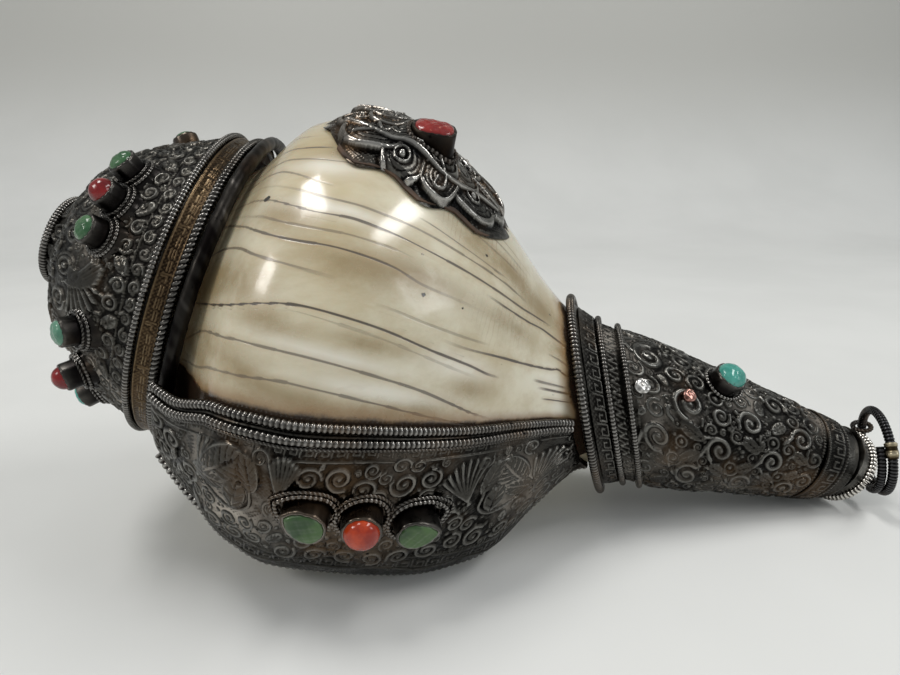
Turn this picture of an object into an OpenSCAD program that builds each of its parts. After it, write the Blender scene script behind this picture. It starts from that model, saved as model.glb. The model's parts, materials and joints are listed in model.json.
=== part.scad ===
// Conch-shell trumpet with silver mounts, lying on its lip with the mouthpiece to the left.
// +X runs towards the narrow tail, +Y to the back, +Z up. The origin is under the middle of the
// whole object, on the surface that it lies on.
//
// The shell's own axis runs from the spire (mouthpiece) to the tail. Along it, stations are measured
// from the plane of the cap's flange, positive towards the tail. Around it, angles start straight
// down: 90 is the back, 180 the top and -90 the front. Local x points down, y back and z to the tail.

/* [Stance] */
// Angle of the shell's axis below the horizontal
axis_dip = 17.2; // [16:0.1:18]
// Height of the flange's centre above the table
flange_height = 67.96; // [60:0.1:75]
// Flange's centre along X, which puts the origin under the middle
flange_x = -74.3; // [-80:0.1:-50]
// Shell's axis along Y, which puts the origin under the middle
axis_y = 4.7; // [-10:0.1:10]

/* [Shell] */
// Thickness of the shell's wall
shell_wall = 3.6; // [2.5:0.1:4.5]
// Growth of the whorl's radius in one turn
whorl_growth = 1.3; // [1.2:0.01:1.4]
// Angle of the outer lip's edge around the axis
lip_angle = -37; // [-40:1:-30]
// Turns of the coil that are modelled, in degrees
coil_span = 565; // [520:5:600]
// Angle over which the lip's flare dies away
flare_angle = 34; // [25:1:36]

/* [Spire cap] */
// Angle by which the cap sits aslant on the shell's axis
cap_tilt = 2.7; // [0:0.1:4]
// Thickness of the sheet silver
sheet = 0.9; // [0.6:0.1:1.2]
// Length of the cap from its skirt's edge to the mouthpiece
cap_length = 45; // [40:1:48]
// Outer radius of the cap's skirt
skirt_r = 41.2; // [40.5:0.1:42]
// Radius of the flange ring's roll
flange_roll = 1.7; // [1.5:0.1:2.1]

/* [Mouthpiece] */
// Radius of the blow hole
bore_r = 5.6; // [5:0.1:6.5]
// Outer radius of the mouthpiece tube
tube_r = 8; // [7:0.1:9]
// Length of the mouthpiece tube
tube_length = 15; // [12:1:16]

/* [Lip plate] */
// Thickness of the lip plate with its relief
plate_thickness = 1.5; // [1:0.1:2.5]
// Radius of the ribbed wire along the lip
lip_wire_r = 1.5; // [1:0.1:1.8]
// Radius of the beaded wire along the plate's upper edge
bead_wire_r = 1.1; // [0.8:0.1:1.3]

/* [Tail sleeve] */
// Radius of the sleeve's three wires
sleeve_wire_r = 1.1; // [0.8:0.1:1.3]
// Outer radius of the ribbed collar on the tail
collar_r = 12.2; // [11:0.1:13]
// Radius of the ribbed collar's wire
collar_wire_r = 1.35; // [1:0.05:1.5]

/* [Suspension ring] */
// Radius of the ring, to the middle of its wire
ring_r = 12.2; // [10:0.1:12.4]
// Radius of the ring's wound wire
ring_wire_r = 1.3; // [1:0.05:1.4]
// Radial clearance of the ring's wire in its eyelet
eyelet_gap = 0.4; // [0.3:0.05:0.6]

/* [Stones] */
// Radius of the bezels on the cap
cap_bezel_r = 3.5; // [3:0.1:4]
// Height of the bezels on the cap
cap_bezel_h = 4.3; // [3:0.1:6]
// Thickness of a bezel's wall
bezel_wall = 0.5; // [0.4:0.1:0.6]

/* [Hidden] */
$fn = 64;

silver = "#5a5650";
dark_silver = "#3b3835";
ivory = "#e6dcc3";
pitch = "#4a2f1c";
coral = "#b3202a";
green = "#4f9a70";
turquoise = "#4fb8a8";

// Radius of the shell's crown, the top of its outer whorl: [station, radius]
CROWN = [[-28, 16], [-14, 27], [0, 36.3], [4, 41], [8, 47.3], [12, 51.8], [20, 55.6], [31, 57],
         [48, 52], [65, 43], [82, 30], [92, 23.8], [100, 20.6], [108, 18.6], [119, 16.8],
         [154, 12.2], [190, 7.2]];
// How far the outer lip stands out beyond the whorl: [station, distance]
FLARE = [[12, 0], [26, 1.2], [42, 4], [58, 9.4], [76, 17.2], [85, 18.6], [96, 10.6], [106, 1.5],
         [112, 0]];
// Angle that the lip plate reaches up from the lip: [station, angle]
PLATE_REACH = [[-5, 36], [3, 38], [12, 43.5], [31, 47.2], [60, 48.8], [110, 48]];
// Radius under the lip plate where it bridges from the shell to the cap's flange ring
BRIDGE = [[-5, 44], [0, 47.9], [5, 51.6], [10, 54.7], [14, 56.6], [20, 58]];
// Outer radius of the tail sleeve, by the station of each section's centre
SLEEVE = [[106, 26.3], [110, 23.8], [115, 22], [122, 21.6], [132, 20.9], [160, 16.9], [195, 11.3]];
// Outer radius of the spire cap, by the distance from its skirt's plane
CAP = [[-45, 11.5], [-42.5, 15], [-37.7, 24], [-27.7, 33], [-14.7, 39.6], [-10, skirt_r],
       [-2.4, skirt_r]];

crown_angle = 180 + lip_angle;
belly_angle = 300;
belly_rise = 0.24;
belly_width = 50;
tuck_start = 325;
tuck_span = 70;
tuck_depth = 0.36;

shell_start = -28;
shell_end = 186;
sleeve_start = 106;
sleeve_end = 188.5;
tail_station = 195.4;
tail_down = 0.27;
tail_back = 0.14;
lean_down = 0.56;
lean_back = 0.28;
plate_gap = 0.6;

// Smooth curve through a list of [x, y] knots
function knot_slope(k, i) =
    let (a = max(i - 1, 0), b = min(i + 1, len(k) - 1)) (k[b][1] - k[a][1]) / (k[b][0] - k[a][0]);
function knot_before(k, x, i = 0) =
    (i >= len(k) - 2 || x < k[i + 1][0]) ? i : knot_before(k, x, i + 1);
function smooth_at(k, x) =
    let (v = min(max(x, k[0][0]), k[len(k) - 1][0]), i = knot_before(k, v),
         h = k[i + 1][0] - k[i][0], t = (v - k[i][0]) / h)
    (1 + 2 * t) * pow(1 - t, 2) * k[i][1] + t * pow(1 - t, 2) * h * knot_slope(k, i)
    + t * t * (3 - 2 * t) * k[i + 1][1] + t * t * (t - 1) * h * knot_slope(k, i + 1);
function ease(t) = let (v = min(max(t, 0), 1)) v * v * (3 - 2 * v);
function bell(x) = exp(-x * x);
function cap_r(c) = min(smooth_at(CAP, c), skirt_r);
function unit(v) = v / norm(v);
function polar(station, angle, r) = [r * cos(angle), r * sin(angle), station];

// The whorl's radius at phi degrees back from the lip, as a share of the crown's
function whorl(phi) =
    pow(whorl_growth, (crown_angle - phi) / 360)
    * (1 + belly_rise * bell((phi - belly_angle) / belly_width))
    * (1 - tuck_depth * ease((phi - tuck_start) / tuck_span));
function shell_r(station, phi) =
    smooth_at(CROWN, station) * whorl(phi)
    + max(smooth_at(FLARE, station), 0) * bell(phi / flare_angle);
function wall_at(r) = min(shell_wall, 0.17 * r);
function phi_at(angle) = let (p = lip_angle - angle) p - 360 * floor(p / 360);

// The sleeve's sections lean: forwards at its mouth, backwards at the tail
function lean(station) =
    station < 119 ? 1 : 1 - 1.48 * (station - 119) / (tail_station - 119);
function sleeve_r(station) = smooth_at(SLEEVE, station);
function sleeve_point(station, angle, r) =
    polar(station + lean(station) * r * (lean_down * cos(angle) + lean_back * sin(angle)), angle, r);

// Closed solid between two grids of points: outer[i][j] and inner[i][j]
module thick_sheet(outer, inner, wrap = false) {
    m = len(outer);
    n = len(outer[0]);
    cols = wrap ? n : n - 1;
    both = concat([for (row = outer) each row], [for (row = inner) each row]);
    half = m * n;
    skins = [for (i = [0:m - 2]) for (j = [0:cols - 1])
        let (a = i * n + j, b = i * n + (j + 1) % n, c = a + n, d = b + n)
        each [[a, b, c], [b, d, c], [half + a, half + c, half + b], [half + b, half + c, half + d]]];
    ends = [for (j = [0:cols - 1])
        let (a = j, b = (j + 1) % n, c = (m - 1) * n + j, d = (m - 1) * n + (j + 1) % n)
        each [[a, half + a, b], [b, half + a, half + b], [c, d, half + c], [d, half + d, half + c]]];
    sides = wrap ? [] : [for (i = [0:m - 2])
        let (a = i * n, b = a + n, c = a + n - 1, d = c + n)
        each [[a, b, half + a], [b, half + b, half + a], [c, half + c, d], [d, half + c, half + d]]];
    polyhedron(both, concat(skins, ends, sides));
}

// Round wire along a path of local points, with its ends closed or joined
module wire(path, r, closed = false, sides = 8) {
    n = len(path);
    rings = [for (i = [0:n - 1])
        let (before = closed ? path[(i + n - 1) % n] : path[max(i - 1, 0)],
             after = closed ? path[(i + 1) % n] : path[min(i + 1, n - 1)],
             along = unit(after - before),
             side = unit(cross(along, [path[i][0], path[i][1], 0])),
             up = cross(side, along))
        [for (k = [0:sides - 1]) path[i] + r * (cos(360 * k / sides) * side + sin(360 * k / sides) * up)]];
    rows = closed ? n : n - 1;
    skin = [for (i = [0:rows - 1]) for (k = [0:sides - 1])
        let (a = i * sides + k, b = i * sides + (k + 1) % sides,
             c = ((i + 1) % n) * sides + k, d = ((i + 1) % n) * sides + (k + 1) % sides)
        each [[a, b, c], [b, d, c]]];
    caps = closed ? [] : [for (k = [1:sides - 2])
        each [[0, k + 1, k], [(n - 1) * sides, (n - 1) * sides + k, (n - 1) * sides + k + 1]]];
    polyhedron([for (ring = rings) each ring], concat(skin, caps));
}

module torus(centre_r, wire_r, station) {
    translate([0, 0, station]) rotate_extrude() translate([centre_r, 0]) circle(wire_r, $fn = 24);
}

module band(r, thickness, from, to) {
    rotate_extrude() translate([r, from]) square([thickness, to - from]);
}

// Frames: the shell's axis, the cap on it and the tail's end
module on_axis() {
    translate([flange_x, axis_y, flange_height]) rotate([0, 90 + axis_dip, 0]) children();
}
module on_cap() {
    on_axis() rotate([0, cap_tilt, 0]) children();
}
module on_tail() {
    on_axis() translate([0, 0, tail_station]) rotate([-atan(tail_back), atan(tail_down), 0]) children();
}
// A place on the surface: children stand along +z, outwards, leaning back by lean degrees
module on_surface(station, angle, r, lean = 0) {
    rotate([0, 0, angle]) translate([r, 0, station]) rotate([0, 90 + lean, 0]) children();
}

// ---- Shell ----

shell_stations = concat([for (s = [shell_start:7:-7]) s], [for (s = [0:4:20]) s],
    [for (s = [26:7:82]) s], [for (s = [88:6:118]) s], [126, 142, 158, 174, shell_end]);
coil_angles = concat([for (p = [0:12.5:325]) p], [for (p = [345:20:coil_span]) p]);

module conch_shell() {
    outer = [for (s = shell_stations) [for (p = coil_angles) polar(s, lip_angle - p, shell_r(s, p))]];
    inner = [for (s = shell_stations) [for (p = coil_angles)
        let (r = shell_r(s, p)) polar(s, lip_angle - p, r - wall_at(r))]];
    color(ivory) on_axis() thick_sheet(outer, inner);
}

// ---- Spire cap and mouthpiece ----

cap_steps = [for (i = [0:17]) -cap_length + i * (cap_length - 2.4) / 17];

module spire_cap() {
    outer = [for (c = cap_steps) [cap_r(c), c]];
    inner = [for (i = [17:-1:1]) [cap_r(cap_steps[i] - sheet) - sheet, cap_steps[i]]];
    neck = tube_r + 0.05;
    color(silver) on_cap()
        rotate_extrude() polygon(concat(outer, inner, [[neck, cap_steps[1]], [neck, -cap_length]]));
}

// Lac fills the space from the mouthpiece tube to the shell, and lines the skirt
module cap_pitch() {
    top = -42;
    step = shell_start - 1.3;
    skirt_end = -3.2;
    steps = [for (i = [0:12]) top + i * (skirt_end - top) / 12];
    lining = [for (i = [0:8]) step + i * (skirt_end - step) / 8];
    outer = [for (c = steps) [cap_r(c - sheet) - sheet - 0.3, c]];
    inner = [for (i = [8:-1:0]) [1.05 * smooth_at(CROWN, lining[i] + 1) + 1.2, lining[i]]];
    bore = tube_r + 0.1;
    color(pitch) on_cap() rotate_extrude() polygon(concat(outer, inner, [[bore, step], [bore, top]]));
}

// The mouthpiece's rim stands out over the cap's end, with a ribbed wire round it
rim_r = 10;
rim_height = 1.6;
rim_wire_r = 1.2;

module mouthpiece() {
    top = -cap_length - rim_height;
    foot = top + tube_length;
    color(silver) on_cap() rotate_extrude() polygon([
        [bore_r, foot], [tube_r, foot], [tube_r, -cap_length], [rim_r, -cap_length], [rim_r, top],
        [rim_r - 0.8, top], [7.2, top + 1.3], [6.1, top + 2.8], [bore_r, top + 4]]);
}

module mouthpiece_rim_wire() {
    color(dark_silver) on_cap() torus(rim_r + rim_wire_r + 0.05, rim_wire_r, -cap_length - 1.25);
}

// Rings round the skirt, by the distance from its plane
cap_bead_c = -10.4;
cap_bead_r = 0.85;
cap_band_c = [-9.2, -5.5];
cap_rope_c = -4;
cap_rope_r = 1.2;
flange_c = -0.9;

module cap_beaded_wire() {
    color(dark_silver) on_cap() torus(skirt_r + cap_bead_r + 0.05, cap_bead_r, cap_bead_c);
}

module cap_engraved_band() {
    color("#6a5a40") on_cap() band(skirt_r + 0.05, sheet, cap_band_c[0], cap_band_c[1]);
}

module cap_rope_wire() {
    color(dark_silver) on_cap() torus(skirt_r + cap_rope_r + 0.05, cap_rope_r, cap_rope_c);
}

module cap_flange_ring() {
    color(dark_silver) on_cap() torus(skirt_r + flange_roll + 0.5, flange_roll, flange_c);
}

// ---- Lip plate ----

plate_start = -3.6;
plate_columns = 25;
plate_rows = 5;
rope_wire_r = 0.9;

function bridge_r(station) = station < 20 ? smooth_at(BRIDGE, station) : 0;
function under_plate(station, phi) = max(shell_r(station, phi), bridge_r(station));
function plate_reach(station) = smooth_at(PLATE_REACH, station);
// Where the sleeve's mouth wire crosses the shell at this angle
function mouth_station(angle) = sleeve_point(sleeve_start, angle, 26)[2];
// u runs along the plate from 0 to 1, v up it from 0 at the lip to 1
function plate_station(u, v) =
    let (angle = lip_angle - plate_reach(110) * v)
    plate_start + u * (mouth_station(angle) - 3 - plate_start);
function plate_point(u, v, height) =
    let (s = plate_station(u, v), p = v * plate_reach(s))
    polar(s, lip_angle - p, under_plate(s, p) + height);

function plate_grid(height) = [for (i = [0:plate_columns]) [for (j = [0:plate_rows])
    plate_point(i / plate_columns, j / plate_rows, height)]];

module lip_plate() {
    color(silver) on_axis() thick_sheet(plate_grid(plate_gap + plate_thickness), plate_grid(plate_gap));
}

module lip_beaded_wire() {
    path = [for (i = [0:32]) let (s = plate_station(i / 32, 1), reach = plate_reach(s),
         p = reach + asin((bead_wire_r + 0.3) / shell_r(s, reach)))
        polar(s, lip_angle - p, under_plate(s, p) + bead_wire_r + 0.7)];
    color(dark_silver) on_axis() wire(path, bead_wire_r);
}

module lip_rope_wire() {
    path = [for (i = [0:32]) let (s = plate_station(i / 32, 1), p = plate_reach(s) - 1.8)
        polar(s, lip_angle - p, under_plate(s, p) + plate_gap + plate_thickness + 1.5)];
    color(dark_silver) on_axis() wire(path, rope_wire_r);
}

module lip_ribbed_wire() {
    path = [for (i = [0:36]) let (s = plate_station(i / 36, 0),
         r = max(shell_r(s, 0) + 0.3, bridge_r(s) + lip_wire_r + 0.2))
        polar(s, lip_angle + asin((lip_wire_r + 0.1) / r), r)];
    color(dark_silver) on_axis() wire(path, lip_wire_r);
}

// ---- Tail sleeve ----

key_stations = [108.6, 111, 113.6];
tail_key_stations = [177, 181, 185];
sleeve_stations = concat([sleeve_start], key_stations, [117.5], [for (s = [122:9:167]) s],
    tail_key_stations, [sleeve_end]);
round_angles = [for (a = [0:15:345]) -a];

function sleeve_grid(stations, height) =
    [for (s = stations) [for (a = round_angles) sleeve_point(s, a, sleeve_r(s) + height)]];
function sleeve_loop(station, height) =
    [for (a = [0:12:348]) sleeve_point(station, a, sleeve_r(station) + height)];

module tail_sleeve() {
    color(silver) on_axis()
        thick_sheet(sleeve_grid(sleeve_stations, 0), sleeve_grid(sleeve_stations, -sheet), true);
}

module sleeve_pitch() {
    stations = [for (s = [113:9:185]) s];
    angles = [for (p = [0:16:352]) lip_angle - p];
    outer = [for (s = stations) [for (a = angles) sleeve_point(s, a, sleeve_r(s) - sheet - 0.4)]];
    inner = [for (row = outer) [for (q = row)
        let (a = atan2(q[1], q[0])) polar(q[2], a, shell_r(q[2], phi_at(a)) + 0.7)]];
    color(pitch) on_axis() thick_sheet(outer, inner, true);
}

module sleeve_mouth_wire() {
    color(dark_silver) on_axis()
        wire(sleeve_loop(sleeve_start + 0.6, sleeve_wire_r + 0.55), sleeve_wire_r, true);
}

module sleeve_middle_wire() {
    color(dark_silver) on_axis() wire(sleeve_loop(115.5, sleeve_wire_r + 0.3), sleeve_wire_r, true);
}

module sleeve_inner_wire() {
    color(dark_silver) on_axis() wire(sleeve_loop(120, sleeve_wire_r + 0.3), sleeve_wire_r, true);
}

module sleeve_key_band() {
    color(silver) on_axis()
        thick_sheet(sleeve_grid(key_stations, 0.7), sleeve_grid(key_stations, 0.1), true);
}

module tail_key_band() {
    color(silver) on_axis()
        thick_sheet(sleeve_grid(tail_key_stations, 0.6), sleeve_grid(tail_key_stations, 0.05), true);
}

module tail_ferrule() {
    neck = collar_r - 2 * collar_wire_r - 0.05;
    shoulder = -2 * collar_wire_r - 0.1;
    barrel_r = 10.9;
    length = 6;
    end = 1.2;
    color(silver) on_tail() rotate_extrude() polygon([
        [0, 0], [neck, 0], [neck, shoulder], [barrel_r, shoulder],
        [barrel_r, -length], [neck - 1, -length], [neck - 1, -end], [0, -end]]);
}

module tail_ribbed_collar() {
    color("#8a8274") on_tail() torus(collar_r - collar_wire_r, collar_wire_r, -collar_wire_r);
}

// ---- Suspension ring: its wire passes through a loop on the collar's upper rim, and it leans there ----

// Around the ring, angles start at the back: 90 is its top and 180 the front
ring_centre = [flange_x + 190.8, axis_y - 8.45, 19.5];
ring_turn = 15.7;
ring_lean = 9;
loop_place = 13;
loop_r = 3.3;
loop_width = 2;

module on_ring() {
    translate(ring_centre) rotate([0, 0, -ring_turn]) rotate([0, -ring_lean, 0]) rotate([90, 0, 90])
        children();
}

module ring_arc(radius, wire_r, from, sweep) {
    on_ring() rotate([0, 0, from]) rotate_extrude(angle = sweep)
        translate([radius, 0]) circle(wire_r, $fn = 24);
}

module ring_eyelet() {
    color(dark_silver) difference() {
        on_ring() rotate([0, 0, loop_place]) translate([ring_r, 0, 0]) rotate([90, 0, 0]) difference() {
            cylinder(r = loop_r, h = loop_width, center = true);
            cylinder(r = ring_wire_r + eyelet_gap, h = 2 * loop_width, center = true);
        }
        on_tail() torus(collar_r - collar_wire_r, collar_wire_r + 0.02, -collar_wire_r);
    }
}

module suspension_ring() {
    color(dark_silver) ring_arc(ring_r, ring_wire_r, 0, 360);
}

module ring_second_turn() {
    color(dark_silver) on_ring() translate([0, 0, -2 * ring_wire_r - 0.05]) rotate([0, 0, 150])
        rotate_extrude(angle = 110) translate([ring_r - 0.6, 0]) circle(ring_wire_r - 0.1, $fn = 24);
}

module ring_joint_sleeve() {
    color("#8a744a") difference() {
        ring_arc(ring_r, ring_wire_r + 0.2, 146, 20);
        ring_arc(ring_r, ring_wire_r, 144, 24);
    }
}

// ---- Stones and their bezels, each built upright on z = 0 ----

bezel_floor = 1;
stone_gap = 0.02;

module bezel(r, h, wall = bezel_wall, foot = 0) {
    difference() {
        translate([0, 0, -foot]) cylinder(r = r, h = h + foot);
        translate([0, 0, bezel_floor]) cylinder(r = r - wall, h = h);
    }
}

// Round stone with a domed top, seated in a bezel of height h
module cabochon(r, h, dome) {
    steps = 7;
    arc = [for (i = [0:steps]) [r * cos(90 * i / steps), h - 0.6 + dome * sin(90 * i / steps)]];
    base = bezel_floor + stone_gap;
    rotate_extrude($fn = 48) polygon(concat([[0, base], [r, base]], arc));
}

CAP_STONES = [[-140, -126, -112], [-74, -50, -23], [32, 50, 68], [122, 140, 158]];
cap_stone_c = -24.8;
cap_stone_lean = 42;
// How far a bezel's foot runs down before it is cut to the surface that it stands on
foot_run = 3.5;
foot_gap = 0.12;

module on_cap_stone(group, place) {
    angle = CAP_STONES[group - 1][place - 1];
    on_cap() on_surface(cap_stone_c, angle, cap_r(cap_stone_c) + 0.4, cap_stone_lean)
        children();
}

module cap_bezels(group) {
    edge = [for (c = cap_steps) [cap_r(c) + foot_gap, c]];
    color(dark_silver) difference() {
        for (place = [1:3]) on_cap_stone(group, place) bezel(cap_bezel_r, cap_bezel_h, foot = foot_run);
        on_cap() rotate_extrude() polygon(concat(edge, [[0, -2.4], [0, -cap_length]]));
    }
}

module cap_coral(group) {
    color(coral) on_cap_stone(group, 2) cabochon(cap_bezel_r - bezel_wall - stone_gap, cap_bezel_h, 2.9);
}

module cap_green_stone(i) {
    group = ceil(i / 2);
    color(group % 2 == 1 ? green : turquoise) on_cap_stone(group, i % 2 == 1 ? 1 : 3)
        cabochon(cap_bezel_r - bezel_wall - stone_gap, cap_bezel_h, 2);
}

// Lip stones: two pointed drops with a round one between them
function lip_stone_station(i) = [37.5, 48.4, 59.6][i - 1];
function lip_stone_angle(i) = [-67, -66.2, -64.6][i - 1];
function lip_stone_turn(i) = [-107, 0, 105][i - 1];
lip_stone_tilt = 12;
lip_stone_h = 4.2;
lip_round_r = 4.6;
drop_r = 4.1;
drop_length = 6.6;

// Outline of a pointed drop: an arc that runs on into its point
module drop(r, length) {
    polygon(concat([for (a = [145:12.5:395]) [r * cos(a), r * sin(a)]], [[0, length]]));
}

module on_lip_stone(i) {
    s = lip_stone_station(i);
    a = lip_stone_angle(i);
    on_axis() on_surface(s, a, shell_r(s, lip_angle - a) + plate_gap + plate_thickness + 0.85,
        atan(-0.12 * (i - 1))) rotate([lip_stone_tilt, 0, 0]) rotate([0, 0, lip_stone_turn(i)]) children();
}

module lip_bezel(i) {
    color(dark_silver) difference() {
        on_lip_stone(i) if (i == 2) bezel(lip_round_r, lip_stone_h, foot = foot_run); else difference() {
            translate([0, 0, -foot_run]) linear_extrude(lip_stone_h + foot_run) drop(drop_r, drop_length);
            translate([0, 0, bezel_floor]) linear_extrude(lip_stone_h)
                drop(drop_r - bezel_wall, drop_length - 0.6);
        }
        on_axis() thick_sheet(plate_grid(plate_gap + plate_thickness + foot_gap), plate_grid(-foot_run));
    }
}

module lip_stone(i) {
    inset = bezel_wall + stone_gap;
    color(i == 2 ? "#d2542a" : green) on_lip_stone(i)
        if (i == 2) cabochon(lip_round_r - inset, lip_stone_h, 2.6);
        else translate([0, 0, bezel_floor + stone_gap]) linear_extrude(lip_stone_h)
            drop(drop_r - inset, drop_length - inset - 0.13);
}

// Stones and studs on the sleeve, whose slope there is given in degrees
function sleeve_centre(station, angle, guess, steps = 16) =
    steps == 0 ? guess : sleeve_centre(station, angle,
        station - lean(guess) * sleeve_r(guess) * (lean_down * cos(angle) + lean_back * sin(angle)),
        steps - 1);
module on_sleeve_place(station, angle, slope, height) {
    on_axis() on_surface(station, angle, sleeve_r(sleeve_centre(station, angle, station)) + height, -slope)
        children();
}

turquoise_bezel_r = 4.4;
turquoise_bezel_h = 3.4;

module on_turquoise_place() {
    on_sleeve_place(141.4, -151.5, 8, 0.75) children();
}

module sleeve_bezel() {
    color(dark_silver) on_turquoise_place() bezel(turquoise_bezel_r, turquoise_bezel_h);
}

module sleeve_turquoise() {
    color(turquoise) on_turquoise_place()
        cabochon(turquoise_bezel_r - bezel_wall - stone_gap, turquoise_bezel_h, 2.6);
}

module sleeve_silver_stud() {
    color("silver") on_sleeve_place(114, -122, 3, 0.35) cylinder(r = 2.2, h = 1.4);
}

module sleeve_copper_stud() {
    color("#b06a52") on_sleeve_place(128.7, -126, 6, 0.35) cylinder(r = 1.8, h = 1.2);
}

// ---- Crest plaque: a cast scroll-work plate on top of the shell ----

crest_station = 41;
crest_angle = -160;
crest_half_length = 25;
crest_half_width = 20.5;
crest_stone_angle = -155;
crest_stone_lean = 6;
crest_bezel_r = 5.2;
crest_bezel_h = 4.6;
crest_bezel_wall = 0.6;
// Heights over the shell: the plate's underside, its edge and its middle
crest_under = 1;
crest_edge = 2;
crest_top = 3.6;

function crest_half(w) =
    crest_half_width * pow(1 - pow(abs(w), 3), 0.5) * (0.92 + 0.08 * cos(540 * w));
function crest_point(w, v, height) =
    let (s = crest_station + crest_half_length * w,
         a = crest_angle + v * crest_half(w) / 55 * 180 / PI)
    polar(s, a, shell_r(s, phi_at(a)) + height);
function crest_grid(low, high) = [for (i = [0:16]) let (w = -0.97 + 1.94 * i / 16)
    [for (j = [0:10]) let (v = 1 - j / 5) crest_point(w, v, low + (high - low) * (1 - pow(v, 4)))]];

module crest_plaque() {
    color(dark_silver) on_axis()
        thick_sheet(crest_grid(crest_edge, crest_top), crest_grid(crest_under, crest_under));
}

module crest_pitch() {
    color(pitch) on_axis() intersection() {
        thick_sheet(crest_grid(0.9, 0.9), crest_grid(0.35, 0.35));
        translate([0, 0, crest_station]) cube([200, 200, 1.6 * crest_half_length], center = true);
    }
}

module on_crest() {
    r = shell_r(crest_station, phi_at(crest_stone_angle)) + 4.75;
    on_axis() on_surface(crest_station, crest_stone_angle, r, crest_stone_lean) children();
}

module crest_bezel() {
    color(dark_silver) difference() {
        on_crest() bezel(crest_bezel_r, crest_bezel_h, crest_bezel_wall, foot_run);
        on_axis() thick_sheet(crest_grid(crest_edge + foot_gap, crest_top + foot_gap),
            crest_grid(-foot_run, -foot_run));
    }
}

module crest_coral() {
    color(coral) on_crest() cabochon(crest_bezel_r - crest_bezel_wall - stone_gap, crest_bezel_h, 1.6);
}

conch_shell();
spire_cap();
cap_pitch();
mouthpiece();
mouthpiece_rim_wire();
cap_beaded_wire();
cap_engraved_band();
cap_rope_wire();
cap_flange_ring();
lip_plate();
lip_beaded_wire();
lip_rope_wire();
lip_ribbed_wire();
tail_sleeve();
sleeve_pitch();
sleeve_mouth_wire();
sleeve_middle_wire();
sleeve_inner_wire();
sleeve_key_band();
tail_key_band();
tail_ferrule();
tail_ribbed_collar();
ring_eyelet();
suspension_ring();
ring_second_turn();
ring_joint_sleeve();
crest_plaque();
crest_pitch();
crest_bezel();
crest_coral();
sleeve_bezel();
sleeve_turquoise();
sleeve_silver_stud();
sleeve_copper_stud();
for (i = [1:4]) {
    cap_bezels(i);
    cap_coral(i);
}
for (i = [1:8]) cap_green_stone(i);
for (i = [1:3]) {
    lip_bezel(i);
    lip_stone(i);
}
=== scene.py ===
"""Looks of the conch-shell trumpet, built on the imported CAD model. Lengths are in millimetres until a
mesh is made. Stations run along the shell's axis from the cap's flange to the tail, and angles, in
degrees, run around it: 0 is down, 90 the back, 180 the top and -90 the front."""

import json
import math

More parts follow.
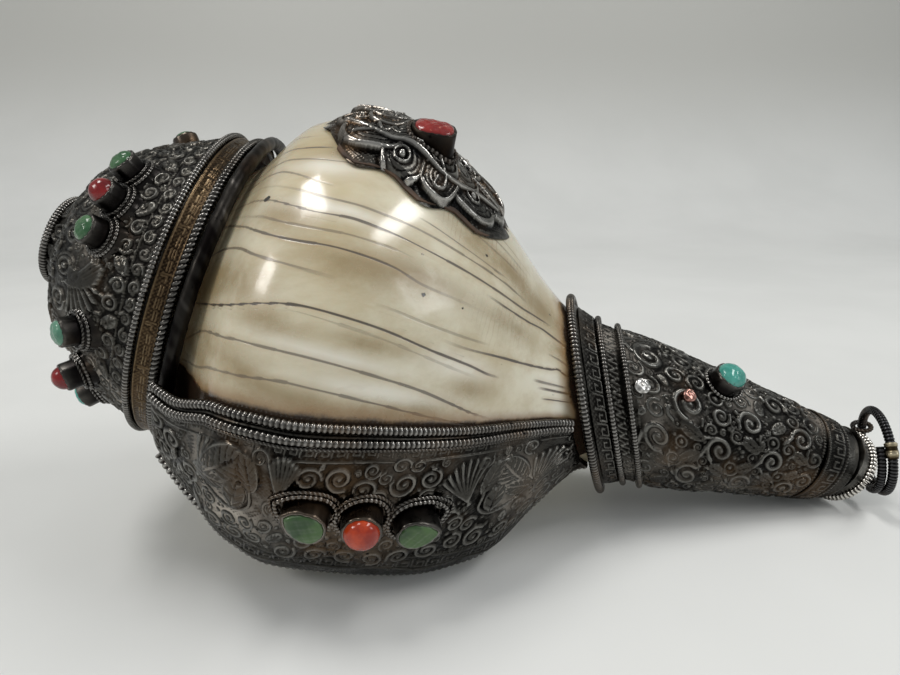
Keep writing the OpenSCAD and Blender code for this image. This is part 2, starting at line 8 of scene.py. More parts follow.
import bpy
import numpy as np
from mathutils import Vector
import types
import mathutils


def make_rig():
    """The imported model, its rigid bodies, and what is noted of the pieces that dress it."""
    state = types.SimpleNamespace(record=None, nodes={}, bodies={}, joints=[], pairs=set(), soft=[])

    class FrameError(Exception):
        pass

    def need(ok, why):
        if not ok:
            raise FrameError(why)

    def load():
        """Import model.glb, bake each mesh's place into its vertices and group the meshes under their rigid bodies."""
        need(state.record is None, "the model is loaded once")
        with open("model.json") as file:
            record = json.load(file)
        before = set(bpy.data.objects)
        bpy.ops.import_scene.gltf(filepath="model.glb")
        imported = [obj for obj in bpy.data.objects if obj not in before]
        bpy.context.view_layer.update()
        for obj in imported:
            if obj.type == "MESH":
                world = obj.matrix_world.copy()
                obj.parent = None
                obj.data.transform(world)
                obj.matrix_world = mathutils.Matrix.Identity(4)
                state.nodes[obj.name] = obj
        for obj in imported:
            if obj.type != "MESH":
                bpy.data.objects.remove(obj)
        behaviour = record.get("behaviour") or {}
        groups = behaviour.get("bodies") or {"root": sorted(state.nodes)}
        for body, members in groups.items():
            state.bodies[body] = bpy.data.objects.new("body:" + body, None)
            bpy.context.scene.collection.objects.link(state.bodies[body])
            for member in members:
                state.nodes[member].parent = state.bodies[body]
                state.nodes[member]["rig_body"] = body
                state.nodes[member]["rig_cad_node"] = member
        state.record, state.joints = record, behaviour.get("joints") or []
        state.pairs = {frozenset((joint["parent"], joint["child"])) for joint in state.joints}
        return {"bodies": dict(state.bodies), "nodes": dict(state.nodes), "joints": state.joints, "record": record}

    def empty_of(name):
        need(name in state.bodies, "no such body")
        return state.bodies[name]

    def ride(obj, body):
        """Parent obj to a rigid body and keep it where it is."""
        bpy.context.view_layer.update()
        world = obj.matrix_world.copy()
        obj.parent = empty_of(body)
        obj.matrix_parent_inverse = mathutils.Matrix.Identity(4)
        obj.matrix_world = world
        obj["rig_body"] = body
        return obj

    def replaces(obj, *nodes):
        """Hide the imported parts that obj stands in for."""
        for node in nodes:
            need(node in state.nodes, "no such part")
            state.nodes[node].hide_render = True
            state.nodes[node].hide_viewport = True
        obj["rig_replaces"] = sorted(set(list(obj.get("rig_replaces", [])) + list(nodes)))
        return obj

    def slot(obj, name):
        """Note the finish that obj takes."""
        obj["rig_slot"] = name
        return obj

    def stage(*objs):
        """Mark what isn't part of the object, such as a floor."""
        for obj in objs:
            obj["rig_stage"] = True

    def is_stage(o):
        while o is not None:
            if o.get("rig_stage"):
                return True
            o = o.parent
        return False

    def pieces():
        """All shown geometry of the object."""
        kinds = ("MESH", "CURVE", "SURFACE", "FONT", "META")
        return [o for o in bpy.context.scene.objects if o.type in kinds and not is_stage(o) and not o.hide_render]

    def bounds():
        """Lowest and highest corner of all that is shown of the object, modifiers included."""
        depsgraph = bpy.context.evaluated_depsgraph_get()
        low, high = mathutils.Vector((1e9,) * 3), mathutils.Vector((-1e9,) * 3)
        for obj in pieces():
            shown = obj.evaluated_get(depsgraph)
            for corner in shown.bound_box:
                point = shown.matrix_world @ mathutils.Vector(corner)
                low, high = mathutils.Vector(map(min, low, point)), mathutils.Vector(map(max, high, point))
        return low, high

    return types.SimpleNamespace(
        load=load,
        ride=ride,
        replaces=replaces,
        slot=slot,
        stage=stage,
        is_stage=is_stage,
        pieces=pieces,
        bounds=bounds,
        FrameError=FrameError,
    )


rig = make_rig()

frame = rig.load()
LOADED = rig.bounds()
RNG = np.random.default_rng(7)
TAU = 2 * math.pi

# ---- The shapes that the CAD model is made from ----

DIP = 17.2  # degrees that the shell's axis dips towards the tail
TILT = 2.7  # degrees that the cap's axis dips more
ORIGIN = np.array([-74.3, 4.7, 67.96])  # where station 0 is
RING_CENTRE = np.array([116.5, -3.75, 19.5])
RING_R = 12.2
LIP = -37  # angle of the shell's outer lip
TAIL = 195.4  # station of the tail's end
SLEEVE_MOUTH, SLEEVE_TURN = 106, 119  # stations where the sleeve starts, and where its rings turn back
PLATE_START = -3.6
SHELL_WALL, CAP_WALL = 3.6, 0.9
# Radius by station: the shell, the lip plate's bridge to the cap, the sleeve and the cap
CROWN = [[-28, 16], [-14, 27], [0, 36.3], [4, 41], [8, 47.3], [12, 51.8], [20, 55.6], [31, 57], [48, 52],
         [65, 43], [82, 30], [92, 23.8], [100, 20.6], [108, 18.6], [119, 16.8], [154, 12.2], [190, 7.2]]
BRIDGE = [[-5, 44], [0, 47.9], [5, 51.6], [10, 54.7], [14, 56.6], [20, 58]]
SLEEVE = [[106, 26.3], [110, 23.8], [115, 22], [122, 21.6], [132, 20.9], [160, 16.9], [195, 11.3]]
CAP = [[-45, 11.5], [-42.5, 15], [-37.7, 24], [-27.7, 33], [-14.7, 39.6], [-10, 41.2], [-2.4, 41.2]]
# By station: what the flare adds to the shell's radius at the lip, and how far round the plate reaches
FLARE = [[12, 0], [26, 1.2], [42, 4], [58, 9.4], [76, 17.2], [85, 18.6], [96, 10.6], [106, 1.5], [112, 0]]
REACH = [[-5, 36], [3, 38], [12, 43.5], [31, 47.2], [60, 48.8], [110, 48]]


def curve(knots, x):
    k = np.array(knots, float)
    X, Y = k[:, 0], k[:, 1]
    m = np.concatenate([[(Y[1] - Y[0]) / (X[1] - X[0])], (Y[2:] - Y[:-2]) / (X[2:] - X[:-2]),
                        [(Y[-1] - Y[-2]) / (X[-1] - X[-2])]])
    x = np.clip(np.asarray(x, float), X[0], X[-1])
    i = np.clip(np.searchsorted(X, x, side="right") - 1, 0, len(X) - 2)
    h = X[i + 1] - X[i]
    t = (x - X[i]) / h
    return ((1 + 2 * t) * (1 - t) ** 2 * Y[i] + t * (1 - t) ** 2 * h * m[i]
            + t * t * (3 - 2 * t) * Y[i + 1] + t * t * (t - 1) * h * m[i + 1])


def ease(t):
    t = np.clip(t, 0, 1)
    return t * t * (3 - 2 * t)


def shell_r(t, phi):
    whorl = (1.3 ** ((180 + LIP - phi) / 360) * (1 + 0.24 * np.exp(-(((phi - 300) / 50) ** 2)))
             * (1 - 0.36 * ease((phi - 325) / 70)))
    return curve(CROWN, t) * whorl + np.maximum(curve(FLARE, t), 0) * np.exp(-((phi / 34) ** 2))


def cap_r(c):
    return np.minimum(curve(CAP, c), 41.2)


def polar(t, a, r):
    t, a, r = np.broadcast_arrays(np.asarray(t, float), np.radians(a), r)
    return np.stack([r * np.cos(a), r * np.sin(a), t], -1)


def rake(q, a, r):
    """How far the sleeve's ring at q is shifted along the axis, at angle a and radius r."""
    lean = np.where(q < SLEEVE_TURN, 1, 1 - 1.48 * (q - SLEEVE_TURN) / (TAIL - SLEEVE_TURN))
    return lean * r * (0.56 * np.cos(np.radians(a)) + 0.28 * np.sin(np.radians(a)))


def sleeve_at(q, a, height):
    r = curve(SLEEVE, q) + height
    return polar(q + rake(q, a, r), a, r)


def sleeve_ring(t, a):
    """Radius of the sleeve's ring that passes through station t at angle a."""
    q = t
    for _ in range(16):
        q = t - rake(q, a, curve(SLEEVE, q))
    return float(curve(SLEEVE, q))


def plate_station(u, v):
    """u runs along the lip plate to the sleeve's mouth, and v from the lip to the upper edge."""
    mouth = sleeve_at(SLEEVE_MOUTH, LIP - 48 * v, 0.8)[..., 2]
    return u * (mouth + 0.6) + PLATE_START


def bridge_r(t):
    return np.where(np.asarray(t) < 20, curve(BRIDGE, t), 0)


def under_plate(t, phi):
    """The surface under the lip plate, which bridges from the shell to the cap's flange ring."""
    return np.maximum(shell_r(t, phi), bridge_r(t))


def plate_at(u, v, height):
    t = plate_station(u, v)
    phi = v * curve(REACH, t)
    return polar(t, LIP - phi, under_plate(t, phi) + height)


def turn(axis, degrees):
    c, s = math.cos(math.radians(degrees)), math.sin(math.radians(degrees))
    return {"x": np.array([[1, 0, 0], [0, c, -s], [0, s, c]]), "y": np.array([[c, 0, s], [0, 1, 0],
            [-s, 0, c]]), "z": np.array([[c, -s, 0], [s, c, 0], [0, 0, 1]])}[axis]


def on_axis(p):
    return p @ turn("y", 90 + DIP).T + ORIGIN


def on_cap(p):
    return p @ turn("y", 90 + DIP + TILT).T + ORIGIN


def on_tail(p):
    m = turn("y", math.degrees(math.atan(0.27))) @ turn("x", -math.degrees(math.atan(0.14)))
    return on_axis(p @ m.T + [0, 0, TAIL])


def on_ring(p):
    return p @ (turn("z", -15.7) @ turn("y", -9) @ turn("z", 90) @ turn("x", 90)).T + RING_CENTRE


def on_surface(t, a, r, leaning=0, spin=0, tilt=0):
    """Stands what is built up along z on the surface at station t, angle a and radius r."""
    m = turn("z", a) @ turn("y", 90 + leaning) @ turn("x", tilt) @ turn("z", spin)
    foot = turn("z", a) @ np.array([r, 0, t])
    return lambda p: p @ m.T + foot


# ---- Meshes ----

def grid(m, n, wrap_m=False, wrap_n=False):
    i, j = np.meshgrid(np.arange(m if wrap_m else m - 1), np.arange(n if wrap_n else n - 1), indexing="ij")
    i2, j2 = (i + 1) % m, (j + 1) % n
    return np.stack([i * n + j, i2 * n + j, i2 * n + j2, i * n + j2], -1).reshape(-1, 4)


def part(points, wrap_m=False, wrap_n=False, **fields):
    """A grid of points with its faces, and a number at each point for each field."""
    m, n = points.shape[:2]
    made = {k: np.broadcast_to(np.asarray(v, float), (m, n)).reshape(-1) for k, v in fields.items()}
    return points.reshape(-1, 3), grid(m, n, wrap_m, wrap_n), made


def placed(put, *parts):
    return [(put(p), f, made) for p, f, made in parts]


def closed_sheet(out, inner, height, cavity, behind=0.0, **more):
    """A sheet of relief joined all round to a plain one, whose cavity is behind."""
    pad = np.zeros(inner.shape[:2])
    fields = {"height": (height, pad), "cavity": (cavity, pad + behind)}
    fields.update({k: (v, pad) for k, v in more.items()})
    made = {k: np.concatenate(v) for k, v in fields.items()}
    return part(np.concatenate([out, inner]), True, True, **made)


def piece(name, node, parts, look, slot, place=on_axis, body="trumpet"):
    """One mesh made of parts, which stands in for the CAD model's node."""
    points, faces, fields, start = [], [], {}, 0
    names = sorted({k for p in parts for k in p[2]})
    for p, f, made in parts:
        tri = p[f]
        a, b, c = tri[:, 0] - p.mean(0), tri[:, 1] - p.mean(0), tri[:, 2] - p.mean(0)
        volume = np.einsum("ij,ij->", a, np.cross(b, c))
        points.append(p)
        faces.append((f if volume > 0 else f[:, ::-1]) + start)
        for k in names:
            fields.setdefault(k, []).append(made.get(k, np.zeros(len(p))))
        start += len(p)
    points, faces = place(np.concatenate(points)), np.concatenate(faces)
    me = bpy.data.meshes.new(name)
    me.vertices.add(len(points))
    me.vertices.foreach_set("co", (points * 0.001).astype(np.float32).ravel())
    me.loops.add(faces.size)
    me.loops.foreach_set("vertex_index", faces.astype(np.int32).ravel())
    me.polygons.add(len(faces))
    me.polygons.foreach_set("loop_start", np.arange(0, faces.size, 4, dtype=np.int32))
    me.update(calc_edges=True)
    me.polygons.foreach_set("use_smooth", np.ones(len(faces), bool))
    for k in names:
        values = np.concatenate(fields[k]).astype(np.float32)
        me.attributes.new(k, "FLOAT", "POINT").data.foreach_set("value", values)
    o = bpy.data.objects.new(name, me)
    bpy.context.scene.collection.objects.link(o)
    me.materials.append(LOOKS[look])
    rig.ride(o, body)
    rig.slot(o, slot)
    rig.replaces(o, node)


def along(path, step):
    """Points at even steps along a path, and how far along each is."""
    d = np.concatenate([[0], np.cumsum(np.linalg.norm(np.diff(path, axis=0), axis=1))])
    s = np.linspace(0, d[-1], max(8, int(d[-1] / step)))
    return np.stack([np.interp(s, d, path[:, k]) for k in range(3)], -1), s


def tube(path, out, radius, sides, closed=False):
    """Tube along a path. out is the outward direction; radius gives a size for (distance, angle)."""
    p, s = path
    if closed:
        p, s = p[:-1], s[:-1]
    ahead = np.roll(p, -1, 0) - np.roll(p, 1, 0)
    if not closed:
        ahead[0], ahead[-1] = p[1] - p[0], p[-1] - p[-2]
    ahead /= np.linalg.norm(ahead, axis=1, keepdims=True)
    o = out(p)
    o = o - (o * ahead).sum(1, keepdims=True) * ahead
    o /= np.linalg.norm(o, axis=1, keepdims=True)
    side = np.cross(ahead, o)
    a = np.arange(sides) * TAU / sides
    r = np.broadcast_to(radius(s[:, None], a[None]), (len(p), sides))
    cos, sin = np.cos(a)[None, :, None], np.sin(a)[None, :, None]
    pts = p[:, None] + r[..., None] * (cos * o[:, None] + sin * side[:, None])
    shade = (r - r.min()) / max(r.max() - r.min(), 1e-6)
    if not closed:
        pts = np.concatenate([p[:1, None] + 0 * pts[:1], pts, p[-1:, None] + 0 * pts[-1:]])
        shade = np.concatenate([shade[:1], shade, shade[-1:]])
    return part(pts, closed, True, height=shade, cavity=shade * 2 - 1)


def radial(p):
    return p * [1, 1, 0]


def wire(name, node, path, step, radius, sides, look="wire", slot="dark_silver", closed=False, **where):
    made = tube(along(path, step), radial, radius, sides, closed)
    piece(name, node, [made], look, slot, **where)


def ribs(r, pitch, depth=0.22):
    return lambda s, a: r * (1 - depth + depth * np.abs(np.cos(math.pi * s / pitch)) ** 0.7)


def rope(r, pitch, depth=0.26, lobes=2):
    return lambda s, a: r * (1 - depth + depth * np.abs(np.cos(lobes / 2 * a - math.pi * s / pitch)))


def beads(r, pitch, depth=0.45):
    def radius(s, a):
        across = 2 * ((s / pitch) % 1) - 1
        return r * (1 - depth + depth * np.sqrt(np.maximum(1 - across ** 2, 0)))

    return radius


def hoop(r, station, n=720):
    a = np.linspace(0, TAU, n + 1)
    return np.stack([r * np.cos(a), r * np.sin(a), station + 0 * a], -1)


def finer(profile, n):
    """A profile's [radius, height] points with n points along the same straight runs."""
    at = np.linspace(0, len(profile) - 1, n)
    runs = [np.interp(at, np.arange(len(profile)), column) for column in np.transpose(profile)]
    return np.stack(runs, -1)


def revolve(profile, n, outline=None, wobble=0.0):
    """Turned surface through a list of [radius, height]; outline gives another shape than round."""
    a = np.linspace(0, TAU, n, endpoint=False)
    pr = np.array(profile, float)
    shape = np.ones(n) if outline is None else outline(a)
    wave = 1 + wobble * (np.sin(3 * a + 1) + np.sin(5 * a + 2.2) * 0.6)
    x, y = pr[:, :1] * np.cos(a) * shape * wave, pr[:, :1] * np.sin(a) * shape * wave
    return np.stack([x, y, pr[:, 1:] + 0 * a], -1)


# ---- Relief: a sheet of heights that motifs are drawn on, then sampled by the meshes ----

class Relief:
    def __init__(self, x0, x1, y0, y1, scale, step):
        """x runs in mm. y runs in degrees, and scale(x) gives mm per degree."""
        self.x = np.arange(x0, x1 + step, step)
        self.y = np.arange(y0, y1 + step, step / scale((x0 + x1) / 2))
        self.scale = scale
        self.h = np.zeros((len(self.x), len(self.y)))
        self.busy = []

    def near(self, x, y, r):
        k = self.scale(x)
        i0, i1 = np.searchsorted(self.x, [x - r, x + r])
        j0, j1 = np.searchsorted(self.y, [y - r / k, y + r / k])
        w = (slice(i0, i1), slice(j0, j1))
        return w, self.x[w[0], None] - x, (self.y[None, w[1]] - y) * k

    def lay(self, w, h):
        self.h[w] = np.maximum(self.h[w], h)

    def bead(self, x, y, r, h):
        w, dx, dy = self.near(x, y, r * 1.5)
        d = np.hypot(dx, dy)
        self.lay(w, h * np.sqrt(np.maximum(1 - (d / r) ** 2, 0)))

    def ring(self, x, y, r, w0, h):
        w, dx, dy = self.near(x, y, r + w0)
        self.lay(w, h * np.sqrt(np.maximum(1 - ((np.hypot(dx, dy) - r) / w0) ** 2, 0)))

    def clear(self, x, y, r):
        w, dx, dy = self.near(x, y, r)
        self.h[w] = np.where(np.hypot(dx, dy) < r, 0, self.h[w])

    def eye(self, x, y, r, h):
        """A round boss in a ring, with a groove between."""
        self.clear(x, y, r)
        self.ring(x, y, r * 0.86, r * 0.2, h * 0.75)
        self.bead(x, y, r * 0.42, h)

    def volute(self, x, y, r, h=0.7, rot=0.0, hand=1, turns=1.7, width=None, bossed=True):
        self.clear(x, y, r * 0.95)
        w, dx, dy = self.near(x, y, r * 1.15)
        rho, a = np.hypot(dx, dy), hand * (np.arctan2(dy, dx) - rot) % TAU
        pitch = r / (turns + 0.35)
        width = width or pitch * 0.42
        v = (r - rho) / pitch - a / TAU
        n = np.clip(np.round(v), 0, math.floor(turns))
        d = np.abs(v - n) * pitch
        fade = 0.65 + 0.35 * rho / r
        self.lay(w, h * fade * np.sqrt(np.maximum(1 - (d / width) ** 2, 0)))
        if bossed:
            self.bead(x, y, pitch * 0.45, h * 1.05)

    def stroke(self, pts, width, h, taper=(1, 1)):
        """A rounded ridge through points, smoothed."""
        p = np.array(pts, float)
        u = np.arange(len(p))
        f = np.linspace(0, len(p) - 1, max(2, 6 * (len(p) - 1) + 1))
        q = np.stack([curve(np.stack([u, p[:, k]], -1), f) for k in (0, 1)], -1) if len(p) > 2 else p
        for n in range(len(q) - 1):
            k = self.scale(q[n, 0])
            a, b = q[n] * [1, k], q[n + 1] * [1, k]
            length = np.linalg.norm(b - a)
            size = width * (taper[0] + (taper[1] - taper[0]) * n / max(len(q) - 2, 1))
            mid = (q[n] + q[n + 1]) / 2
            w, dx, dy = self.near(mid[0], mid[1], length / 2 + size)
            if dx.size == 0 or dy.size == 0 or length < 1e-6:
                continue
            e = (b - a) / length
            s = np.clip(dx * e[0] + dy * e[1], -length / 2, length / 2)
            d = np.hypot(dx - s * e[0], dy - s * e[1])
            self.lay(w, h * np.sqrt(np.maximum(1 - (d / size) ** 2, 0)))

    def plume(self, x, y, length, spread, heading, bend=0.5, n=7, h=0.6):
        """A fan of curved ridges from one root, like a cut feather."""
        for i in range(n):
            f = i / (n - 1) - 0.5
            t = np.linspace(0, 1, 6)
            a = heading + f * spread + bend * t * (1 + f)
            r = length * (1 - 0.25 * abs(f)) / 5
            run, rise = (np.concatenate([[0], np.cumsum(r * g(a[1:]))]) for g in (np.cos, np.sin))
            px = x + run + f * 0.9 * np.sin(heading)
            py = y + rise / self.scale(x) - f * 0.9 * np.cos(heading)
            self.stroke(np.stack([px, py], -1), length * spread / n * 0.36 + 0.12, h, (0.5, 1))

    def leaf(self, x, y, length, width, heading, h=0.8, veins=5):
        """A pointed, domed leaf with cut veins and a raised edge."""
        w, dx, dy = self.near(x, y, length * 0.62)
        s = (dx * math.cos(heading) + dy * math.sin(heading)) / length + 0.5
        t = -dx * math.sin(heading) + dy * math.cos(heading)
        half = width / 2 * np.sqrt(np.clip(np.sin(math.pi * np.clip(s, 0, 1) ** 0.8), 0, 1)) + 1e-6
        f = np.abs(t) / half
        inside = (f < 1) & (s > 0) & (s < 1)
        body = h * (0.55 + 0.45 * np.sqrt(np.maximum(1 - f**2, 0)))
        vein = np.abs(np.sin(veins * math.pi * (s * 1.2 + f * 0.35))) < 0.28
        groove = 0.22 * h * vein + 0.3 * h * (f < 0.07)
        self.h[w] = np.where(inside, body - groove, self.h[w])
        self.lay(w, np.where(inside, h * 1.02 * np.sqrt(np.maximum(1 - ((f - 0.9) / 0.1) ** 2, 0)), 0))

    def fret(self, along_x, start, end, low, high, cell, width, h):
        """Band of squared meander between low(s) and high(s), drawn with straight strokes."""
        path = [(0, 0), (0, 1), (0.78, 1), (0.78, 0.32), (0.36, 0.32), (0.36, 0.66)]
        n = max(1, round((end - start) / cell))
        for i in range(n):
            for a, b in zip(path[:-1], path[1:]):
                pts = []
                for f, g in (a, b):
                    s = start + (i + 0.08 + f) * (end - start) / n
                    c = low(s) + (high(s) - low(s)) * (0.12 + 0.76 * g)
                    pts.append((s, c) if along_x else (c, s))
                self.stroke(pts, width, h)

    def bead_line(self, pts, r, pitch, h):
        p = np.array(pts, float)
        k = self.scale(p[:, 0].mean())
        d = np.concatenate([[0], np.cumsum(np.hypot(np.diff(p[:, 0]), np.diff(p[:, 1]) * k))])
        for s in np.arange(0, d[-1], pitch):
            self.bead(np.interp(s, d, p[:, 0]), np.interp(s, d, p[:, 1]), r, h)

    def fill(self, inside, r_low, r_high, tries, motif):
        """Puts motifs where there is room, biggest first."""
        for least in (r_high * 0.97, (r_low + r_high) / 2, r_low):
            for _ in range(tries):
                x, y = RNG.uniform(self.x[0], self.x[-1]), RNG.uniform(self.y[0], self.y[-1])
                if not inside(x, y):
                    continue
                b = np.array(self.busy)
                r = float(np.min(np.hypot(x - b[:, 0], (y - b[:, 1]) * self.scale(x)) - b[:, 2])) - 0.08
                if r >= least:
                    r = min(r, r_high)
                    self.busy.append((x, y, r))
                    motif(x, y, r)

    def keep(self, x, y, r):
        self.busy.append((x, y, r))

    def done(self, grain):
        """Fine matting on the bare ground, a grain all over, and how hollow each place is."""
        k = self.scale((self.x[0] + self.x[-1]) / 2)
        x, y = self.x[:, None], self.y[None]
        mat = np.cos(TAU * x / 1.1 + 2 * np.sin(y * k * 0.7))
        mat = mat * np.cos(TAU * y * k + 2 * np.sin(x * 0.9))
        h = self.h + 0.16 * np.maximum(mat, 0) * (self.h < 0.15)
        tooth = RNG.normal(0, 1, h.shape)
        for _ in range(2):
            tooth = (tooth + np.roll(tooth, 1, 0) + np.roll(tooth, 1, 1) + np.roll(tooth, -1, 0)) / 4
        self.h = h + grain * tooth
        wide = self.h.copy()
        for n in (2, 3, 5):
            rows = wide + np.roll(wide, n, 0) + np.roll(wide, -n, 0)
            wide = (rows + np.roll(wide, n, 1) + np.roll(wide, -n, 1)) / 5
        self.c = np.clip((self.h - wide) * 4, -1, 1)

    def at(self, x, y):
        fx = np.clip((x - self.x[0]) / (self.x[1] - self.x[0]), 0, len(self.x) - 1.001)
        fy = np.clip((y - self.y[0]) / (self.y[1] - self.y[0]), 0, len(self.y) - 1.001)
        i, j = fx.astype(int), fy.astype(int)
        a, b = fx - i, fy - j
        return [m[i, j] * (1 - a) * (1 - b) + m[i + 1, j] * a * (1 - b)
                + m[i, j + 1] * (1 - a) * b + m[i + 1, j + 1] * a * b for m in (self.h, self.c)]


# ---- Materials ----

class Value:
    """A number that a material's nodes work out. Sums with it make the nodes."""

    def __init__(self, look, socket):
        self.look, self.socket = look, socket

    def calc(self, operation, *terms):
        return self.look.made("ShaderNodeMath", dict(enumerate(terms)), operation=operation)

    def __add__(self, other):
        return self.calc("ADD", self, other)

    def __sub__(self, other):
        return self.calc("SUBTRACT", self, other)

    def __rsub__(self, other):
        return self.calc("SUBTRACT", other, self)

    def __mul__(self, other):
        return self.calc("MULTIPLY", self, other)

    def __abs__(self):
        return self.calc("ABSOLUTE", self)

    def __round__(self):
        return self.calc("ROUND", self)

    def sine(self):
        return self.calc("SINE", self)


class Look:
    def __init__(self, name):
        self.mat = bpy.data.materials.new(name)
        self.mat.use_nodes = True
        self.tree = self.mat.node_tree
        self.skin = self.tree.nodes["Principled BSDF"]
        self.where = self.made("ShaderNodeTexCoord", out="Object")

    def made(self, kind, inputs=(), out=0, **settings):
        """The output of a new node."""
        n = self.tree.nodes.new(kind)
        for k, v in settings.items():
            setattr(n, k, v)
        for k, v in dict(inputs).items():
            self.put(n.inputs[k], v)
        return Value(self, n.outputs[out])

    def put(self, socket, v):
        if isinstance(v, Value):
            self.tree.links.new(v.socket, socket)
        elif isinstance(v, tuple) and socket.type == "RGBA":
            socket.default_value = (*v, 1)
        else:
            socket.default_value = v

    def set(self, **values):
        for k, v in values.items():
            self.put(self.skin.inputs[k.replace("_", " ")], v)
        return self.mat

    def noise(self, size, detail=4, rough=0.55, lengthen=None, distort=0.0):
        """Noise whose features are about size mm across."""
        v = self.where
        if lengthen:
            v = self.made("ShaderNodeVectorMath", {0: v, 1: lengthen}, operation="MULTIPLY")
        settings = {"Vector": v, "Scale": 500 / size, "Detail": detail, "Roughness": rough,
                    "Distortion": distort}
        return self.made("ShaderNodeTexNoise", settings, "Fac")

    def field(self, name):
        return self.made("ShaderNodeAttribute", out="Fac", attribute_name=name)

    def ramp(self, v, low, high, to_low=0.0, to_high=1.0):
        ends = {"Value": v, "From Min": low, "From Max": high, "To Min": to_low, "To Max": to_high}
        return self.made("ShaderNodeMapRange", ends, interpolation_type="SMOOTHSTEP", clamp=True)

    def mix(self, f, a, b):
        return self.made("ShaderNodeMix", {0: f, 6: a, 7: b}, 2, data_type="RGBA", clamp_factor=True)

    def bump(self, height, strength, distance):
        return self.made("ShaderNodeBump", {"Height": height, "Strength": strength,
                "Distance": distance * 0.001})


def silver(name, recess, body, bright, rough=0.36, shine=(0.15, 0.75), dust=0.0, warm=0.0):
    """Blackened silver: dark in the recesses, rubbed bright on the high points, with dust and tarnish."""
    k = Look(name)
    c, h = k.field("cavity"), k.field("height")
    lift = c + (k.noise(9, 5, 0.6) - 0.5) * 1.1
    colour = k.mix(k.ramp(lift, -0.55, 0.2), recess, body)
    colour = k.mix(k.ramp(lift, *shine), colour, bright)
    brown = k.ramp(k.noise(14, 4), 0.48, 0.7)
    colour = k.mix(brown * (0.35 + warm), colour, (0.16, 0.10, 0.055))
    colour = k.mix(k.ramp(k.noise(0.9, 3), 0.62, 0.75), colour, recess)
    metal = 1.0
    roughness = k.ramp(k.noise(3, 4) + h * -0.15, 0.25, 0.75, rough - 0.12, rough + 0.2)
    if dust:
        grime = k.ramp(c, 0.05, -0.35) * k.ramp(k.noise(11, 4, 0.6), 0.6 - dust * 0.25, 0.78 - dust * 0.2)
        grime = grime * k.field("dusty")
        colour = k.mix(grime, colour, (0.42, 0.38, 0.33))
        metal = 1.0 - grime
        roughness = roughness + grime * 0.4
    grain = k.bump(k.noise(0.7, 4) + k.noise(2.5, 3) * 0.8, 0.35, 0.12)
    return k.set(Base_Color=colour, Metallic=metal, Roughness=roughness, Normal=grain)


def stone(name, deep, light, spots, spot_size, spot_amount, rough=0.14):
    k = Look(name)
    vein = k.noise(spot_size, 5, 0.7, distort=1.2)
    colour = k.mix(k.ramp(k.noise(3.2, 5, 0.6), 0.35, 0.66), deep, light)
    colour = k.mix(k.ramp(vein, 0.66 - spot_amount, 0.74 - spot_amount), colour, spots)
    polish = k.ramp(k.noise(1.1, 4), 0.4, 0.75, rough, rough + 0.16)
    return k.set(Base_Color=colour, Roughness=polish, Specular_IOR_Level=0.45, Coat_Weight=0.15,
                 Coat_Roughness=0.06, Normal=k.bump(k.noise(1.2, 4), 0.2, 0.08))


def shell_look():
    k = Look("polished_shell")
    ink = k.field("ink")
    waver = (k.noise(5, 3) - 0.5) * 0.9
    index = k.field("crack")
    off = abs(abs(index - round(index)) * k.field("gap") + waver * 0.35)
    line = k.ramp(off, 0.42, 0.17) * ink
    halo = k.ramp(off, 1.7, 0.1) * (ink * 0.28)
    grown = k.noise(7, 6, 0.65, (0.35, 1, 1))
    colour = k.mix(k.ramp(k.noise(30, 4, 0.55), 0.38, 0.62), (0.69, 0.645, 0.50), (0.53, 0.45, 0.285))
    colour = k.mix(k.ramp(grown, 0.40, 0.68) * 0.55, colour, (0.42, 0.33, 0.18))
    tan = k.field("tan") * k.ramp(k.noise(6, 5, 0.65), 0.25, 0.62, 0.35, 1.0)
    colour = k.mix(tan * 0.9, colour, (0.28, 0.205, 0.10))
    colour = k.mix(k.field("pale") * 0.8, colour, (0.80, 0.77, 0.68))
    fine = k.ramp(k.noise(1.3, 3, 0.5, (0.22, 1, 1)), 0.55, 0.72) * 0.12
    colour = k.mix(fine, colour, (0.40, 0.30, 0.19))
    stripes = ((k.field("station") + k.noise(8, 3) * 3.4) * 5.1).sine()
    hatch = k.ramp(stripes, 0.78, 0.98) * (k.field("hatch") * k.ramp(k.noise(4, 3), 0.4, 0.6))
    colour = k.mix(hatch * 0.5, colour, (0.30, 0.20, 0.11))
    colour = k.mix(halo, colour, (0.42, 0.29, 0.16))
    colour = k.mix(line * 0.92, colour, (0.045, 0.035, 0.03))
    pit = k.ramp(k.field("pit") + waver * 0.5, 0.15, -0.1)
    colour = k.mix(pit, colour, (0.02, 0.015, 0.012))
    rim = k.field("edge") + (k.noise(4, 5, 0.7) - 0.5) * 3.2
    colour = k.mix(k.ramp(rim, 5.0, 0.4) * 0.85, colour, (0.27, 0.15, 0.055))
    colour = k.mix(k.ramp(rim, 1.5, 0.0), colour, (0.035, 0.022, 0.014))
    height = k.noise(4, 4, 0.5, (0.4, 1, 1)) * 0.25 - (line + pit)
    rough = k.ramp(k.noise(3, 5), 0.3, 0.7, 0.12, 0.24) + (line + tan) * 0.15
    return k.set(Base_Color=colour, Roughness=rough, Specular_IOR_Level=0.55, Coat_Weight=0.35,
                 Coat_Roughness=0.09, Subsurface_Weight=0.06, Subsurface_Scale=0.002,
                 Normal=k.bump(height, 0.45, 0.12))


def lac_look():
    k = Look("lac")
    colour = k.mix(k.ramp(k.noise(3), 0.35, 0.7), (0.03, 0.016, 0.009), (0.10, 0.055, 0.03))
    rough = k.ramp(k.noise(1.5), 0.3, 0.7, 0.45, 0.8)
    return k.set(Base_Color=colour, Roughness=rough, Normal=k.bump(k.noise(1.5, 5), 0.5, 0.3))


